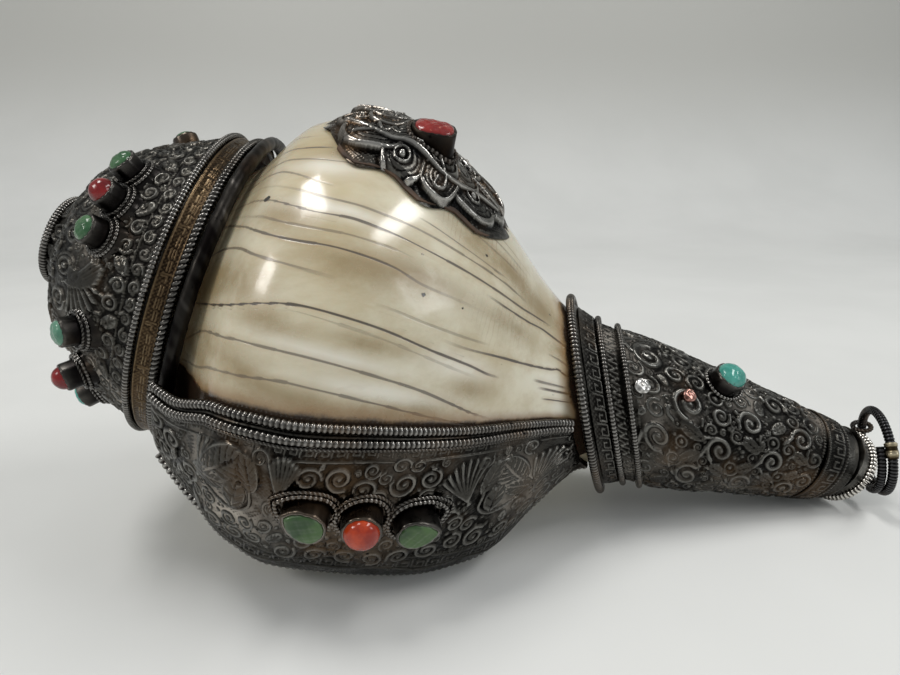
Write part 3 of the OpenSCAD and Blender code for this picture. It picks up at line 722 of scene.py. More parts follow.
def floor_look():
    k = Look("floor")
    height = k.made("ShaderNodeSeparateXYZ", {0: k.where}, "Z")
    table = k.mix(k.ramp(k.noise(60, 3), 0.3, 0.7), (0.72, 0.73, 0.72), (0.76, 0.77, 0.76))
    return k.set(Base_Color=k.mix(k.ramp(height, 0.0, 0.3), table, (0.50, 0.50, 0.475)), Roughness=0.5)


LOOKS = {
    "relief": silver("oxidised_relief", (0.006, 0.0055, 0.005), (0.048, 0.046, 0.041), (0.18, 0.176, 0.163),
                     0.34, (0.4, 1.25), 0.6),
    "cap": silver("oxidised_cap", (0.008, 0.0075, 0.007), (0.058, 0.055, 0.048), (0.18, 0.176, 0.163), 0.36,
                  (0.4, 1.25), 0.4),
    "wire": silver("oxidised_wire", (0.008, 0.007, 0.007), (0.07, 0.066, 0.06), (0.32, 0.31, 0.295), 0.30,
                   (0.5, 1.3)),
    "ribbed": silver("ribbed_wire", (0.006, 0.005, 0.005), (0.08, 0.075, 0.068), (0.42, 0.41, 0.39), 0.28,
                     (0.3, 1.1)),
    "dark": silver("dark_band", (0.005, 0.004, 0.004), (0.022, 0.020, 0.018), (0.14, 0.13, 0.12), 0.46,
                   (0.5, 1.3), warm=0.1),
    "cast": silver("cast_plaque", (0.005, 0.005, 0.005), (0.095, 0.092, 0.084), (0.36, 0.35, 0.33), 0.28,
                   (0.25, 1.0)),
    "brassy": silver("brassy_band", (0.014, 0.009, 0.006), (0.10, 0.068, 0.038), (0.33, 0.26, 0.16), 0.36,
                     (0.3, 1.0), warm=0.3),
    "worn": silver("rubbed_silver", (0.03, 0.027, 0.024), (0.28, 0.265, 0.24), (0.74, 0.71, 0.66), 0.28,
                   (0.1, 0.9)),
    "black": silver("black_wire", (0.003, 0.003, 0.003), (0.014, 0.014, 0.015), (0.07, 0.07, 0.073), 0.34,
                    (0.3, 1.2)),
    "brass": silver("brass_joint", (0.03, 0.022, 0.012), (0.22, 0.18, 0.11), (0.48, 0.42, 0.30), 0.36,
                    (0.0, 0.8)),
    "copper": silver("copper_stud", (0.12, 0.05, 0.04), (0.50, 0.28, 0.24), (0.80, 0.55, 0.50), 0.28,
                     (0.0, 0.7)),
    "bright": silver("bright_stud", (0.20, 0.19, 0.18), (0.62, 0.61, 0.59), (0.88, 0.87, 0.86), 0.24,
                     (0.0, 0.6)),
    "coral": stone("red_coral", (0.11, 0.002, 0.004), (0.25, 0.006, 0.007), (0.36, 0.05, 0.035), 2.2, 0.0),
    "crest_coral": stone("crest_coral", (0.15, 0.008, 0.008), (0.30, 0.022, 0.018), (0.45, 0.13, 0.09), 1.6,
                         0.04, 0.16),
    "orange": stone("orange_coral", (0.24, 0.014, 0.004), (0.50, 0.055, 0.012), (0.62, 0.22, 0.08), 1.5,
                    0.0),
    "green": stone("green_stone", (0.022, 0.085, 0.032), (0.07, 0.165, 0.07), (0.20, 0.26, 0.14), 1.2, 0.04,
                   0.2),
    "leaf_green": stone("leaf_green_stone", (0.018, 0.055, 0.014), (0.06, 0.125, 0.036), (0.19, 0.20, 0.09),
                        2.6, 0.0, 0.3),
    "pale_green": stone("pale_green_stone", (0.05, 0.17, 0.11), (0.14, 0.30, 0.21), (0.05, 0.08, 0.05), 1.8,
                        0.0, 0.2),
    "turquoise": stone("turquoise", (0.03, 0.22, 0.18), (0.09, 0.37, 0.31), (0.008, 0.02, 0.02), 3.2, 0.085,
                       0.16),
    "shell": shell_look(),
    "lac": lac_look(),
}

# ---- Shell ----

# Cracks, from the lip plate's edge to the crest: [station, angle] and how dark each is by station
CRACKS = [
    ([[-5, -60], [100, -62]], [[0, 0]]),
    ([[-5, -70], [4, -73], [30, -80], [60, -80], [100, -75]], [[0, 0]]),
    ([[-5, -76], [4, -82.5], [9, -88], [17, -90.8], [27, -92.8], [42, -92.3], [53, -90.8], [67, -88],
      [75, -85.5], [100, -79]],
     [[-5, 0.5], [40, 0.75], [66, 0.9], [76, 0.8], [78, 0]]),
    ([[-5, -82], [-1, -86], [4, -93.5], [12, -96.8], [20, -97.8], [30, -98.4], [40, -97.9], [52, -96.4],
      [60, -94], [67, -91.2], [75, -88.5], [100, -83]],
     [[-5, 0.5], [10, 0.7], [52, 0.8], [66, 0.9], [70, 0.3], [74, 0]]),
    ([[-5, -90], [4, -97], [12, -100.3], [20, -101.3], [40, -101.4], [60, -99.8], [75, -98], [87, -98],
      [100, -98.3]],
     [[-5, 0], [85, 0], [87, 0.9], [100, 0.9]]),
    ([[-5, -96], [-1, -98.3], [8, -101.8], [16, -104.4], [23, -106], [32, -105.9], [42, -105.4], [52, -104],
      [65, -101.9], [75, -101], [100, -101]],
     [[-5, 0], [20, 0], [28, 0.28], [58, 0.3], [66, 0]]),
    ([[-5, -97.3], [-1, -99.3], [8, -102.6], [16, -105.3], [23, -107], [32, -107.4], [42, -107.1],
      [52, -105.8], [62, -104.7], [68, -103.4], [85, -102.5], [100, -103.3]],
     [[-5, 0.9], [10, 1], [66, 0.95], [69, 0.5], [71, 0], [83, 0], [86, 0.95], [100, 0.95]]),
    ([[-5, -100], [8, -105.2], [22, -109], [42, -108.9], [58, -107], [70, -106], [82, -105.5], [92, -105.8],
      [100, -106]],
     [[-5, 0], [81, 0], [83, 0.75], [91, 0.8], [93, 0]]),
    ([[-5, -103], [15, -109.5], [42, -110.2], [58, -108.6], [70, -109.7], [79, -111], [86, -113],
      [88.5, -114.6], [91, -113.2], [100, -113.6]],
     [[-5, 0], [54, 0], [62, 0.6], [68, 1], [100, 1]]),
    ([[-5, -107], [15, -111.5], [42, -111.6], [50, -111.2], [63, -111.6], [80, -114], [90, -116.5],
      [100, -117]],
     [[-5, 0], [38, 0], [44, 0.35], [62, 0.4], [66, 0]]),
    ([[-5, -112], [-1, -115.5], [3, -118.4], [8, -117.2], [12, -115.4], [20, -114.3], [30, -114],
      [60, -114.6], [75, -117], [86, -120], [94, -118.4], [100, -118.4]],
     [[-5, 0.6], [12, 0.75], [22, 0.5], [30, 0], [84, 0], [86, 0.6], [100, 0.8]]),
    ([[-5, -121], [-1, -126], [2, -127.6], [6, -124.7], [11, -121.2], [18, -119.8], [28, -120.2],
      [40, -120.4], [47, -119.3], [57, -119.8], [75, -121], [100, -123]],
     [[-5, 0.4], [6, 0.7], [16, 0.95], [38, 0.9], [46, 0.5], [60, 0.1], [66, 0]]),
    ([[-5, -126], [2, -130.4], [8, -126.3], [15, -123.7], [23, -123.2], [34, -123.9], [42, -124.4],
      [66, -123.9], [100, -126.5]],
     [[-5, 0], [8, 0.2], [14, 0.55], [38, 0.5], [44, 0], [100, 0]]),
    ([[-5, -128], [2, -132.4], [10, -128], [20, -125.3], [43, -126], [66, -125.5], [75, -127], [82, -129.6],
      [100, -129.4]],
     [[-5, 0], [62, 0], [65, 0.5], [68, 0.95], [100, 1]]),
    ([[-5, -130], [2, -135], [10, -130], [20, -126.9], [30, -127.2], [43, -127.5], [53, -128], [66, -129],
      [73, -130.3], [78, -132.4], [84, -134.8], [100, -137]],
     [[-5, 0], [8, 0.5], [14, 0.8], [40, 0.95], [80, 0.9], [84, 0]]),
    ([[-5, -134], [3, -139], [11, -134], [22, -131], [31, -130.8], [45, -131.8], [55, -132.3], [66, -133.5],
      [74, -134.6], [84, -138], [100, -140]],
     [[-5, 0], [14, 0.2], [20, 0.6], [70, 0.7], [75, 0]]),
    ([[-5, -138], [3, -143], [11, -139], [20, -134.9], [32, -133.6], [44, -134.7], [54, -134.4],
      [66, -135.4], [80, -139.5], [100, -143]],
     [[-5, 0.35], [12, 0.6], [20, 0.5], [24, 0], [42, 0], [46, 0.7], [64, 0.6], [68, 0]]),
    ([[-5, -145], [2, -149], [6, -146], [12, -143.2], [20, -142.2], [32, -142.2], [60, -142], [72, -143],
      [100, -147]],
     [[-5, 0.35], [8, 0.6], [28, 0.5], [32, 0], [54, 0], [58, 0.4], [68, 0.4], [72, 0]]),
    ([[-5, -150], [3, -155], [8, -151], [12, -148.2], [18, -147.2], [60, -147], [70, -147], [100, -150]],
     [[-5, 0.4], [6, 0.7], [18, 0.8], [21, 0], [56, 0], [60, 0.5], [70, 0.4], [74, 0]]),
    ([[-5, -158], [4, -167], [8, -160], [12, -155], [20, -153], [60, -151], [72, -150.5], [100, -154]],
     [[-5, 0.5], [12, 0.5], [16, 0], [56, 0], [60, 0.6], [72, 0.5], [76, 0]]),
]
for n in range(16):
    a = -168 - 11.5 * n
    CRACKS.append(([[-5, a - 2], [20, a + 3 * math.sin(n)], [60, a - 2 * math.sin(2 * n)],
                    [100, a * 0.4 - 100 + n]], [[-5, 0.2], [30, 0.5 + 0.4 * math.sin(3 * n)],
            [70, 0.7 * (n % 3 > 0)], [100, 0.5]]))
CRACKS.append(([[-5, -420], [100, -420]], [[0, 0]]))
# Tan and pale spots: (station, angle, half-length, half-width in degrees)
TAN_SPOTS = ((11, -109, 8, 5), (20, -102.5, 7, 2.6), (32, -117.5, 11, 4), (47, -121, 10, 4),
             (70, -120.5, 9, 4.5), (16, -125.5, 7, 5), (33, -90, 20, 2.6), (12, -91, 8, 5),
             (55, -92, 9, 3), (65, -98.5, 6, 3), (60, -139.5, 14, 5), (78, -139, 10, 8),
             (26, -144, 8, 3), (2, -107, 4, 12), (40, -103.6, 8, 1.6), (4, -88, 5, 6), (90, -125, 5, 3))
PALE_SPOTS = ((88, -106, 7, 7), (76, -88.5, 14, 2.6), (92, -95, 3, 5), (33, -99.5, 14, 1.6),
              (44, -94.6, 15, 2), (26, -128.5, 12, 2), (60, -104, 9, 3), (20, -140, 8, 3))
# Small pits: (station, angle, radius)
PITS = ((10.3, -130.4, 0.75), (47.6, -117.2, 0.5), (57, -118.4, 0.32), (60.3, -137.6, 0.42),
        (45.2, -126.3, 0.35), (88.7, -100.4, 0.3), (34, -102.9, 0.22), (83, -141, 0.4),
        (70.5, -107.4, 0.3), (89, -85.7, 0.7), (94.6, -101.6, 0.6), (52, -97.5, 0.22))


def shell_fields(t, a):
    """Fields on the outer surface, for stations t (rows) and angles a (columns)."""
    T, A = np.meshgrid(t, a, indexing="ij")
    index, gap, ink = np.zeros_like(T), np.zeros_like(T), np.zeros_like(T)
    for i, s in enumerate(t):
        where = -np.array([curve(c, s) for c, _ in CRACKS])
        where = np.maximum.accumulate(where + np.arange(len(where)) * 1e-3)
        dark = np.array([np.interp(s, *np.array(d, float).T) for _, d in CRACKS])
        f = np.interp(-a, where, np.arange(len(where)))
        lo = np.clip(f.astype(int), 0, len(where) - 2)
        index[i] = f
        gap[i] = (where[lo + 1] - where[lo]) * math.radians(1) * shell_r(s, LIP - a)
        ink[i] = dark[np.clip(np.round(f).astype(int), 0, len(dark) - 1)]

    def blot(x, y, rx, ry):
        return np.exp(-(((T - x) / rx) ** 2) - ((A - y) / ry) ** 2)

    tan, pale = (sum(blot(*spot) for spot in spots) for spots in (TAN_SPOTS, PALE_SPOTS))
    hatch = blot(66, -143, 13, 8) + blot(50, -139, 8, 4)
    hatch = hatch + 0.6 * blot(68, -119, 8, 7) + 0.4 * blot(80, -135, 8, 10)
    pit = np.full_like(T, 5.0)
    for x, y, r in PITS:
        pit = np.minimum(pit, np.hypot(T - x, (A - y) * math.radians(1) * 50) - r)
    lip_edge = -A + LIP - curve(REACH, T) - 2.6
    mouth = sleeve_at(SLEEVE_MOUTH, A, 1.2)[..., 2] - T
    edge = np.minimum(np.minimum(T + 2.2, np.where(A < -60, lip_edge, 9)), mouth * 0.9)
    back = (A < -260) | (A > -60)
    tan, pale, hatch = np.clip(tan, 0, 1), np.clip(pale, 0, 1), np.clip(hatch, 0, 1)
    edge = np.where(back, np.minimum(edge + 6, 9), edge)
    return {"crack": index, "gap": gap, "ink": ink * (T > -20), "tan": tan, "pale": pale, "hatch": hatch,
            "pit": pit, "edge": edge, "station": T}


def make_shell():
    t = np.concatenate([np.linspace(-28, -5, 12), np.linspace(-4, 100, 190), np.linspace(102, 187, 18)])
    phi = np.concatenate([np.linspace(0, 38, 22), np.linspace(39, 170, 150), np.linspace(173, 565, 100)])
    inner = phi[::3][::-1]
    outer = polar(t[:, None], LIP - phi[None], shell_r(t[:, None], phi[None]))
    r = shell_r(t[:, None], inner[None])
    under = polar(t[:, None], LIP - inner[None], r - np.minimum(SHELL_WALL, 0.17 * r))
    fields = shell_fields(t, LIP - phi)
    # Inside, the crack field lies half-way between two cracks, and pits and edges are out of reach
    inside = {"crack": 0.5, "gap": 9, "pit": 5, "edge": 9}
    plain = np.zeros((len(t), len(inner)))
    fields = {k: np.concatenate([v, plain + inside.get(k, 0)], 1) for k, v in fields.items()}
    surface = part(np.concatenate([outer, under], 1), False, True, **fields)
    piece("shell_surface", "conch_shell", [surface], "shell", "shell")


# ---- Spire cap ----

# The four groups' angles and looks, and the [radius, height] outline of the petal collar under a bezel
CAP_STONES = [[-140, -126, -112], [-74, -50, -23], [32, 50, 68], [122, 140, 158]]
CAP_STONE_LOOKS = [["green", "coral", "green"], ["pale_green", "coral", "turquoise"],
                   ["turquoise", "coral", "green"], ["turquoise", "coral", "green"]]
COLLAR = [[5.9, -3.3], [5.6, -2.2], [5.2, -1.2], [4.75, -0.6], [4.4, 0.1], [4.1, 0.6], [3.6, 0.7]]
CAP_TIP, SKIRT_TOP, CAP_MOUTH = -45, -10.9, -2.4
BAND_R = 41.85
BLOW_R, TUBE_R, TUBE_FOOT, RIM_TOP = 5.6, 8, -31.6, -46.6


def cap_scale(x):
    return float(cap_r(x)) * math.radians(1)


def cap_filler(s):
    def motif(x, y, r):
        kind = RNG.integers(0, 5)
        if r < 0.75:
            s.bead(x, y, r * 0.9, 0.45)
        elif kind == 0:
            s.eye(x, y, r, 0.7)
        elif kind < 4:
            s.volute(x, y, r, 0.75, RNG.uniform(0, 6), RNG.choice([-1, 1]), 1.5)
        else:
            s.leaf(x, y, 2 * r, 1.3 * r, RNG.uniform(0, 6), 0.75, 4)
    return motif


def cap_relief():
    s = Relief(CAP_TIP, 0, -184, 184, cap_scale, 0.19)
    for group in CAP_STONES:
        for a in group:
            s.keep(-25.5, a, 4.4)
    for n, a in enumerate(np.arange(-180, 180, 6.9)):
        x = -17.9 + 0.7 * math.sin(0.3 * a)
        if n % 3 == 2:
            s.leaf(x, a, 5.0, 3.2, 2.4 - 1.6 * (n % 2), 0.85, 4)
        elif n % 5 == 3:
            s.eye(x, a, 1.8, 0.75)
        else:
            s.volute(x, a, 1.9, 0.8, 1.3 * n, (-1) ** n, 1.5)
        s.keep(x, a, 2.05)
    for n, a in enumerate(np.arange(-177, 180, 5.6)):
        s.volute(-13.7 + 0.4 * math.sin(2.3 * n), a, 1.55, 0.6, n, (-1) ** n, 1.4)
        s.keep(-13.7, a, 1.65)
    for a in np.arange(-176, 180, 22):
        for f in (-1, 1):
            s.stroke([(-29.5, a), (-25, a + 4 * f), (-20.3, a + 3.4 * f)], 0.32, 0.6)
    for n, a in enumerate((-97, -88, -8, 3, 14, 90, 104, 175)):
        s.plume(-32.5, a, 12.5, 0.75, 0.1 + 0.35 * (-1) ** n, 0.5 * (-1) ** n, 7, 0.85)
        for d in (-30, -26, -23):
            s.keep(d, a, 2.8)
    for n, a in enumerate(np.arange(-175, 180, 16)):
        if n % 2:
            s.eye(-33.2, a, 2.2, 0.85)
            s.ring(-33.2, a, 2.9, 0.3, 0.5)
        else:
            s.volute(-33.2, a, 2.8, 0.85, n, 1, 1.8)
        s.keep(-33.2, a, 3.2)
        s.volute(-38.5, a + 8, 2.0, 0.7, n, (-1) ** n, 1.5)
        s.keep(-38.5, a + 8, 2.1)
    for x, r in ((-15.7, 0.36), (-11.6, 0.3), (-29.6, 0.34)):
        s.bead_line([(x, -183), (x, 183)], r, 2.3 * r, 0.5)
    s.fill(lambda x, y: -43.5 < x < -12.2 and -182 < y < 182, 0.45, 2.3, 5000, cap_filler(s))
    s.done(0.09)
    return s


def make_cap():
    s = cap_relief()
    c = np.concatenate([np.linspace(CAP_TIP, -10.8, 150), np.linspace(-10.3, CAP_MOUTH, 16)])
    a = np.linspace(-180, 180, 640, endpoint=False)
    C, A = np.meshgrid(c, a, indexing="ij")
    h, cav = s.at(C, A)
    skirt = ease((SKIRT_TOP - C) / 0.8)
    groove = -0.5 * np.exp(-(((C + 9.4) / 0.55) ** 2))
    dent = 0.25 * np.sin(np.radians(A) * 3 + C * 0.2) + 0.2 * np.sin(np.radians(A) * 7 + 1 + C * 0.33)
    slope = np.stack([np.ones_like(C), -(cap_r(C + 0.2) - cap_r(C - 0.2)) / 0.4], -1)
    slope /= np.linalg.norm(slope, axis=-1, keepdims=True)
    lift = (h - 0.25) * skirt + groove * (1 - skirt) + (dent - 0.3) * skirt * ease((C - CAP_TIP) / 3)
    out = polar(C + lift * slope[..., 1], A, cap_r(C) + lift * slope[..., 0])
    back = np.linspace(CAP_MOUTH, -43.5, 14)
    inner = polar(back[:, None], a[None], cap_r(back - CAP_WALL)[:, None] - CAP_WALL)
    dusty = np.clip(0.5 + 0.5 * np.sin(np.radians(A) * 5), 0, 1)
    made = closed_sheet(out, inner, h, np.where(skirt > 0.5, cav, -0.3), -0.5, dusty=dusty)
    piece("cap_dome", "spire_cap", [made], "cap", "oxidised_silver", on_cap)


def dented(s, a):
    return 1.68 * (1 + 0.035 * np.sin(s * 0.23 + a) + 0.02 * np.sin(s * 0.61)
                   + 0.015 * np.sin(s * 1.7 + 2 * a))


def make_cap_wires():
    def ring(name, node, r, station, radius, step, sides, look="wire"):
        wire(name, node, hoop(r, station), step, radius, sides, look, closed=True, place=on_cap)

    ring("cap_bead_row", "cap_beaded_wire", 41.9, -10.5, beads(0.95, 1.05), 0.15, 10)
    ring("cap_rope_row", "cap_rope_wire", 42.3, -4.3, rope(1.25, 1.25, 0.3), 0.16, 16)
    # This roll is the real flange ring. Its near-black dark look also paints in the black shadowed gap between the cap
    # and the shell: painted shade.
    ring("cap_flange_roll", "cap_flange_ring", 43.35, -0.95, dented, 0.5, 24, "dark")
    ring("mouthpiece_ribbed_rim", "mouthpiece_rim_wire", 11.2, -46.2, ribs(1.25, 0.85, 0.26), 0.1, 14)


def make_cap_band():
    s = Relief(-9.4, -5.2, -184, 184, lambda x: 41.9 * math.radians(1), 0.14)
    for n, y in enumerate(np.arange(-180, 180, 3.9)):
        x, k = -7.2 + 0.15 * math.sin(n * 2.1), 0.72
        if n % 4 == 3:
            s.stroke([(x - 1.1, y), (x + 1.1, y)], 0.17, 0.3)
            s.stroke([(x - 1.1, y + k), (x + 0.2, y + k), (x + 0.2, y + 2.2)], 0.17, 0.3)
        else:
            for d in (-0.55, 0.05, 0.65) if n % 2 else (-0.25, 0.4):
                s.stroke([(x + d + 0.12 * math.sin(n), y), (x + d, y + 2.9)], 0.17, 0.3)
    for x in (-9.0, -5.6):
        s.stroke([(x, -183), (x, 0), (x, 183)], 0.2, 0.25)
    s.done(0.04)
    C, A = np.meshgrid(np.linspace(-9.3, -5.4, 26), np.linspace(-180, 180, 900, endpoint=False),
                       indexing="ij")
    h, cav = s.at(C, A)
    hollow = -0.25 * np.cos((C + 7.3) / 1.95 * math.pi / 2)
    rim = np.stack([polar(x, A[0], 41.2) for x in (-5.3, -9.4)])
    made = closed_sheet(polar(C, A, BAND_R + h * 0.8 + hollow), rim, h * 2, cav)
    piece("cap_dashed_band", "cap_engraved_band", [made], "brassy", "brassy_silver", on_cap)


def make_mouthpiece():
    top = RIM_TOP
    profile = [[BLOW_R, TUBE_FOOT], [TUBE_R, TUBE_FOOT], [TUBE_R, -45.1], [10, -45], [10.1, -46.2],
               [9.4, top], [8.6, top - 0.05], [7.4, top + 1.1], [6.4, top + 2.4], [5.8, top + 3.6],
               [BLOW_R, top + 5], [BLOW_R, TUBE_FOOT]]
    made = part(revolve(finer(profile, 60), 96, None, 0.001), False, True, cavity=0.1, height=0.3)
    piece("mouthpiece_tube", "mouthpiece", [made], "wire", "oxidised_silver", on_cap)


# ---- Bezels and stones, upright on z = 0 ----

BEZEL_FOOT = 3.4  # how far a bezel runs down into what it stands on


def drop_outline(r, length):
    def outline(a):
        d = np.abs((a - math.pi / 2 + math.pi) % TAU - math.pi)
        return 1 + (length / r - 1) * np.maximum(1 - d / math.radians(72), 0) ** 1.5
    return outline


def bezel(r, h, outline=None):
    """Cup with its rim pressed over the stone."""
    foot = BEZEL_FOOT
    wall = [[r + 0.25, -foot], [r + 0.2, -foot / 2], [r + 0.12, 0], [r + 0.05, 0.9], [r, h * 0.5],
            [r, h - 0.5], [r - 0.05, h - 0.15], [r - 0.22, h + 0.05], [r - 0.5, h + 0.12],
            [r - 0.75, h - 0.05], [r - 0.8, h - 0.6], [r - 0.8, 0.9], [0.02, 0.9]]
    pts = revolve(wall, 96, outline)
    a = np.linspace(0, TAU, 96, endpoint=False)
    pts[6:11, :, 2] += 0.06 * np.sin(14 * a) + 0.08 * np.sin(3 * a + 1)
    pts[3:6, :, :2] *= (1 + 0.012 * np.sin(7 * a + 1))[None, :, None]
    level = np.array([-1, -0.9, -0.7, -0.5, -0.35, -0.1, 0.15, 0.35, 0.9, 0.9, 0.1, -0.9, -1])
    level = level[:, None] + 0 * a
    return part(pts, False, True, cavity=level, height=np.clip(level, 0, 1))


def foot_ring(put, r, surface, height, radius, outline=None):
    """Wire round a bezel's foot, laid on the surface, whose radius is given by (station, angle)."""
    a = np.linspace(0, TAU, 241)
    f = r * (np.ones_like(a) if outline is None else outline(a))
    p = put(np.stack([f * np.cos(a), f * np.sin(a), 0 * a], -1))
    angle = np.degrees(np.arctan2(p[:, 1], p[:, 0]))
    on = polar(p[:, 2], angle, surface(p[:, 2], angle) + height)
    return tube(along(on, 0.13), radial, radius, 10, True)


def gem(r, base, dome, outline, flat, lumps):
    """Domed stone whose edge stands at base; a higher flat makes its top flatter."""
    f = np.linspace(0.01, 1, 22)
    profile = np.stack([r * f, base + dome * (1 - f**flat) ** (1 / flat)], -1)[::-1]
    profile = np.concatenate([[[r * 0.99, base - 1.6]], profile])
    pts = revolve(profile, 72, outline, 0.006)
    x, y = pts[..., 0], pts[..., 1]
    bumps = np.sin(2.1 * x + 0.7) * np.sin(1.7 * y) + 0.5 * np.sin(4.3 * x + 1) * np.sin(3.9 * y + 2)
    pts[1:, :, 2] += lumps * bumps[1:]
    return part(pts, False, True, height=1, cavity=0)


def make_cap_stones():
    for g, (angles, looks) in enumerate(zip(CAP_STONES, CAP_STONE_LOOKS), 1):
        cups = []
        for p, (a, look) in enumerate(zip(angles, looks), 1):
            coral = p == 2
            put = on_surface(-24.8, a, float(cap_r(-24.8)) + 0.4, 42)
            foot = foot_ring(put, 4.6, lambda t, b: cap_r(t), 0.45, beads(0.6, 1.0))
            petals = revolve(COLLAR, 72, lambda b: 1 + 0.04 * np.cos(9 * b))
            collar = [part(petals, False, True, cavity=-0.25, height=0.3)]
            for r, z, w in ((4.25, 0.55, rope(0.42, 0.9)), (4.75, -0.45, beads(0.5, 0.9))):
                collar.append(tube(along(hoop(r, z, 180), 0.13), radial, w, 10, True))
            cups += placed(put, bezel(3.5, 4.3)) + [foot] + placed(put, *collar)
            body = gem(3.0, 3.8, 3.0, None, 2.0, 0.03) if coral else gem(3.0, 3.8, 1.8, None, 2.3, 0.1)
            node = f"cap_coral_{g}" if coral else f"cap_green_stone_{2 * g - (p == 1)}"
            slot = "coral" if coral else "green_stone" if g % 2 else "turquoise"
            piece(f"cap_stone_{g}_{p}", node, placed(put, body), look, slot, on_cap)
        piece(f"cap_stone_cups_{g}", f"cap_bezels_{g}", cups, "wire", "dark_silver", on_cap)


# ---- Lip plate ----

# Scrolls: (station, angle, radius)
LIP_VOLUTES = ((35, -74.8, 2.7), (41.2, -75.6, 2.9), (46.6, -73.2, 2.9), (50.3, -70.4, 2.5),
               (55.2, -74, 3.0), (60.8, -75.2, 2.6), (61.2, -70.4, 2.0), (47.5, -77.9, 1.8),
               (66, -67.5, 2.0), (29.4, -66, 2.2), (28.4, -60.6, 1.9), (70.5, -60.6, 2.0),
               (26.4, -54.8, 2.4), (33.8, -52.7, 2.6), (40.6, -52.2, 2.5), (47.6, -51.8, 2.6),
               (53.6, -51.6, 2.5), (59.8, -52, 2.6), (66.2, -53.2, 2.6), (71.4, -55, 2.3),
               (77, -54.2, 2.6), (20.4, -56.8, 2.2), (44, -56.6, 1.7), (56, -56.4, 1.7),
               (83.5, -53.6, 2.3), (89, -55, 2.1), (14.8, -58.4, 2.0), (73.6, -77, 2.1),
               (24.6, -77.4, 1.9))
LIP_STONES = [(37.5, -67, -107), (48.4, -66.2, 0), (59.6, -64.6, 105)]  # station, angle and turn


def lip_border(x):
    """Angle of the plate's upper edge."""
    return LIP - float(curve(REACH, x))


def lip_relief():
    s = Relief(-6, 112, -92, -30, lambda x: 0.96, 0.17)

    def low(x):
        return -47.6 - 2.2 * math.exp(-(((x - 50) / 30) ** 2))

    def inside(x, y):
        return -2.5 < x < 104 and lip_border(x) + 6.6 < y < low(x) - 2.8

    s.fret(True, -2, 106, lambda x: lip_border(x) + 4.9, lambda x: lip_border(x) + 2.9, 3.1, 0.2, 0.45)
    s.fret(True, -1, 100, low, lambda x: low(x) + 3.4, 3.6, 0.24, 0.45)
    for f, g in ((5.7, 1), (2.3, 1), (-1.2, 0), (4.4, 0)):
        pts = [(x, (lip_border(x) + f) if g else low(x) + f) for x in np.arange(-4, 108, 6.0)]
        s.stroke(pts, 0.28, 0.5)
    s.bead_line([(x, low(x) - 2.0) for x in np.arange(-4, 108, 3.0)], 0.3, 0.75, 0.45)

    for x, y in ((37.5, -66.8), (48.4, -66), (59.6, -64.4)):
        s.keep(x, y, 6.4)
    s.keep(34, -67, 6)
    s.keep(63.5, -64.6, 6)
    for n, (x, y, r) in enumerate(LIP_VOLUTES):
        s.volute(x, y, r, 0.85, 0.9 * n, 1 if n % 2 else -1, 1.7)
        s.keep(x, y, r)
    s.volute(3.5, -64.5, 2.6, 0.9, 1, 1, 1.6)
    s.leaf(7, -56, 9, 3.6, 1.9, 0.8, 3)
    s.leaf(1.5, -55, 8, 3.2, 1.7, 0.8, 3)
    s.keep(3.5, -64.5, 2.7)
    for x, y, flip in ((19.5, -69, 1), (80, -68.5, -1)):
        s.leaf(x - 2.5 * flip, y - 2.5, 13, 8.5, 2.3 if flip > 0 else 0.85, 1.0, 6)
        s.leaf(x + 3.4 * flip, y - 3.5, 9, 5, 1.2 if flip > 0 else 1.95, 0.9, 5)
        s.leaf(x - 5.5 * flip, y + 3.2, 9, 4.6, 2.75 if flip > 0 else 0.4, 0.85, 5)
        s.leaf(x + 1.2 * flip, y + 3.4, 7.4, 5.4, 1.6, 1.15, 3)
        for n in range(7):
            s.bead(x + flip * (-5 + 1.5 * n), y - 1.5 + 1.2 * math.sin(1.6 * n), 0.42, 1.2)
        s.stroke([(x - 6 * flip, y + 6), (x - 1, y + 8), (x + 4.5 * flip, y + 5.4),
                  (x + 4.4 * flip, y + 1)], 0.6, 0.9, (0.5, 1))
        s.keep(x, y, 8.5)
    s.plume(72.5, -65.5, 13, 0.85, -2.1, 0.35, 8, 0.85)
    s.plume(71, -63.5, 8, 0.6, -2.75, 0.4, 5, 0.7)
    s.plume(90, -61, 14, 1.1, -1.35, 0.45, 9, 0.85)
    s.plume(29.5, -68.5, 10, 1.0, -1.35, -0.3, 8, 0.8)
    s.plume(11.5, -62, 13, 0.7, -1.45, 0.4, 6, 0.8)
    s.plume(96, -58, 12, 0.6, -1.2, 0.5, 6, 0.75)
    for x, y, r in ((70, -72, 4.5), (67, -77, 3), (91, -68, 5), (93, -75, 4), (30, -75, 4), (11, -69, 4)):
        s.keep(x, y, r)
    s.fill(inside, 0.4, 2.4, 6000, cap_filler(s))
    s.done(0.085)
    return s


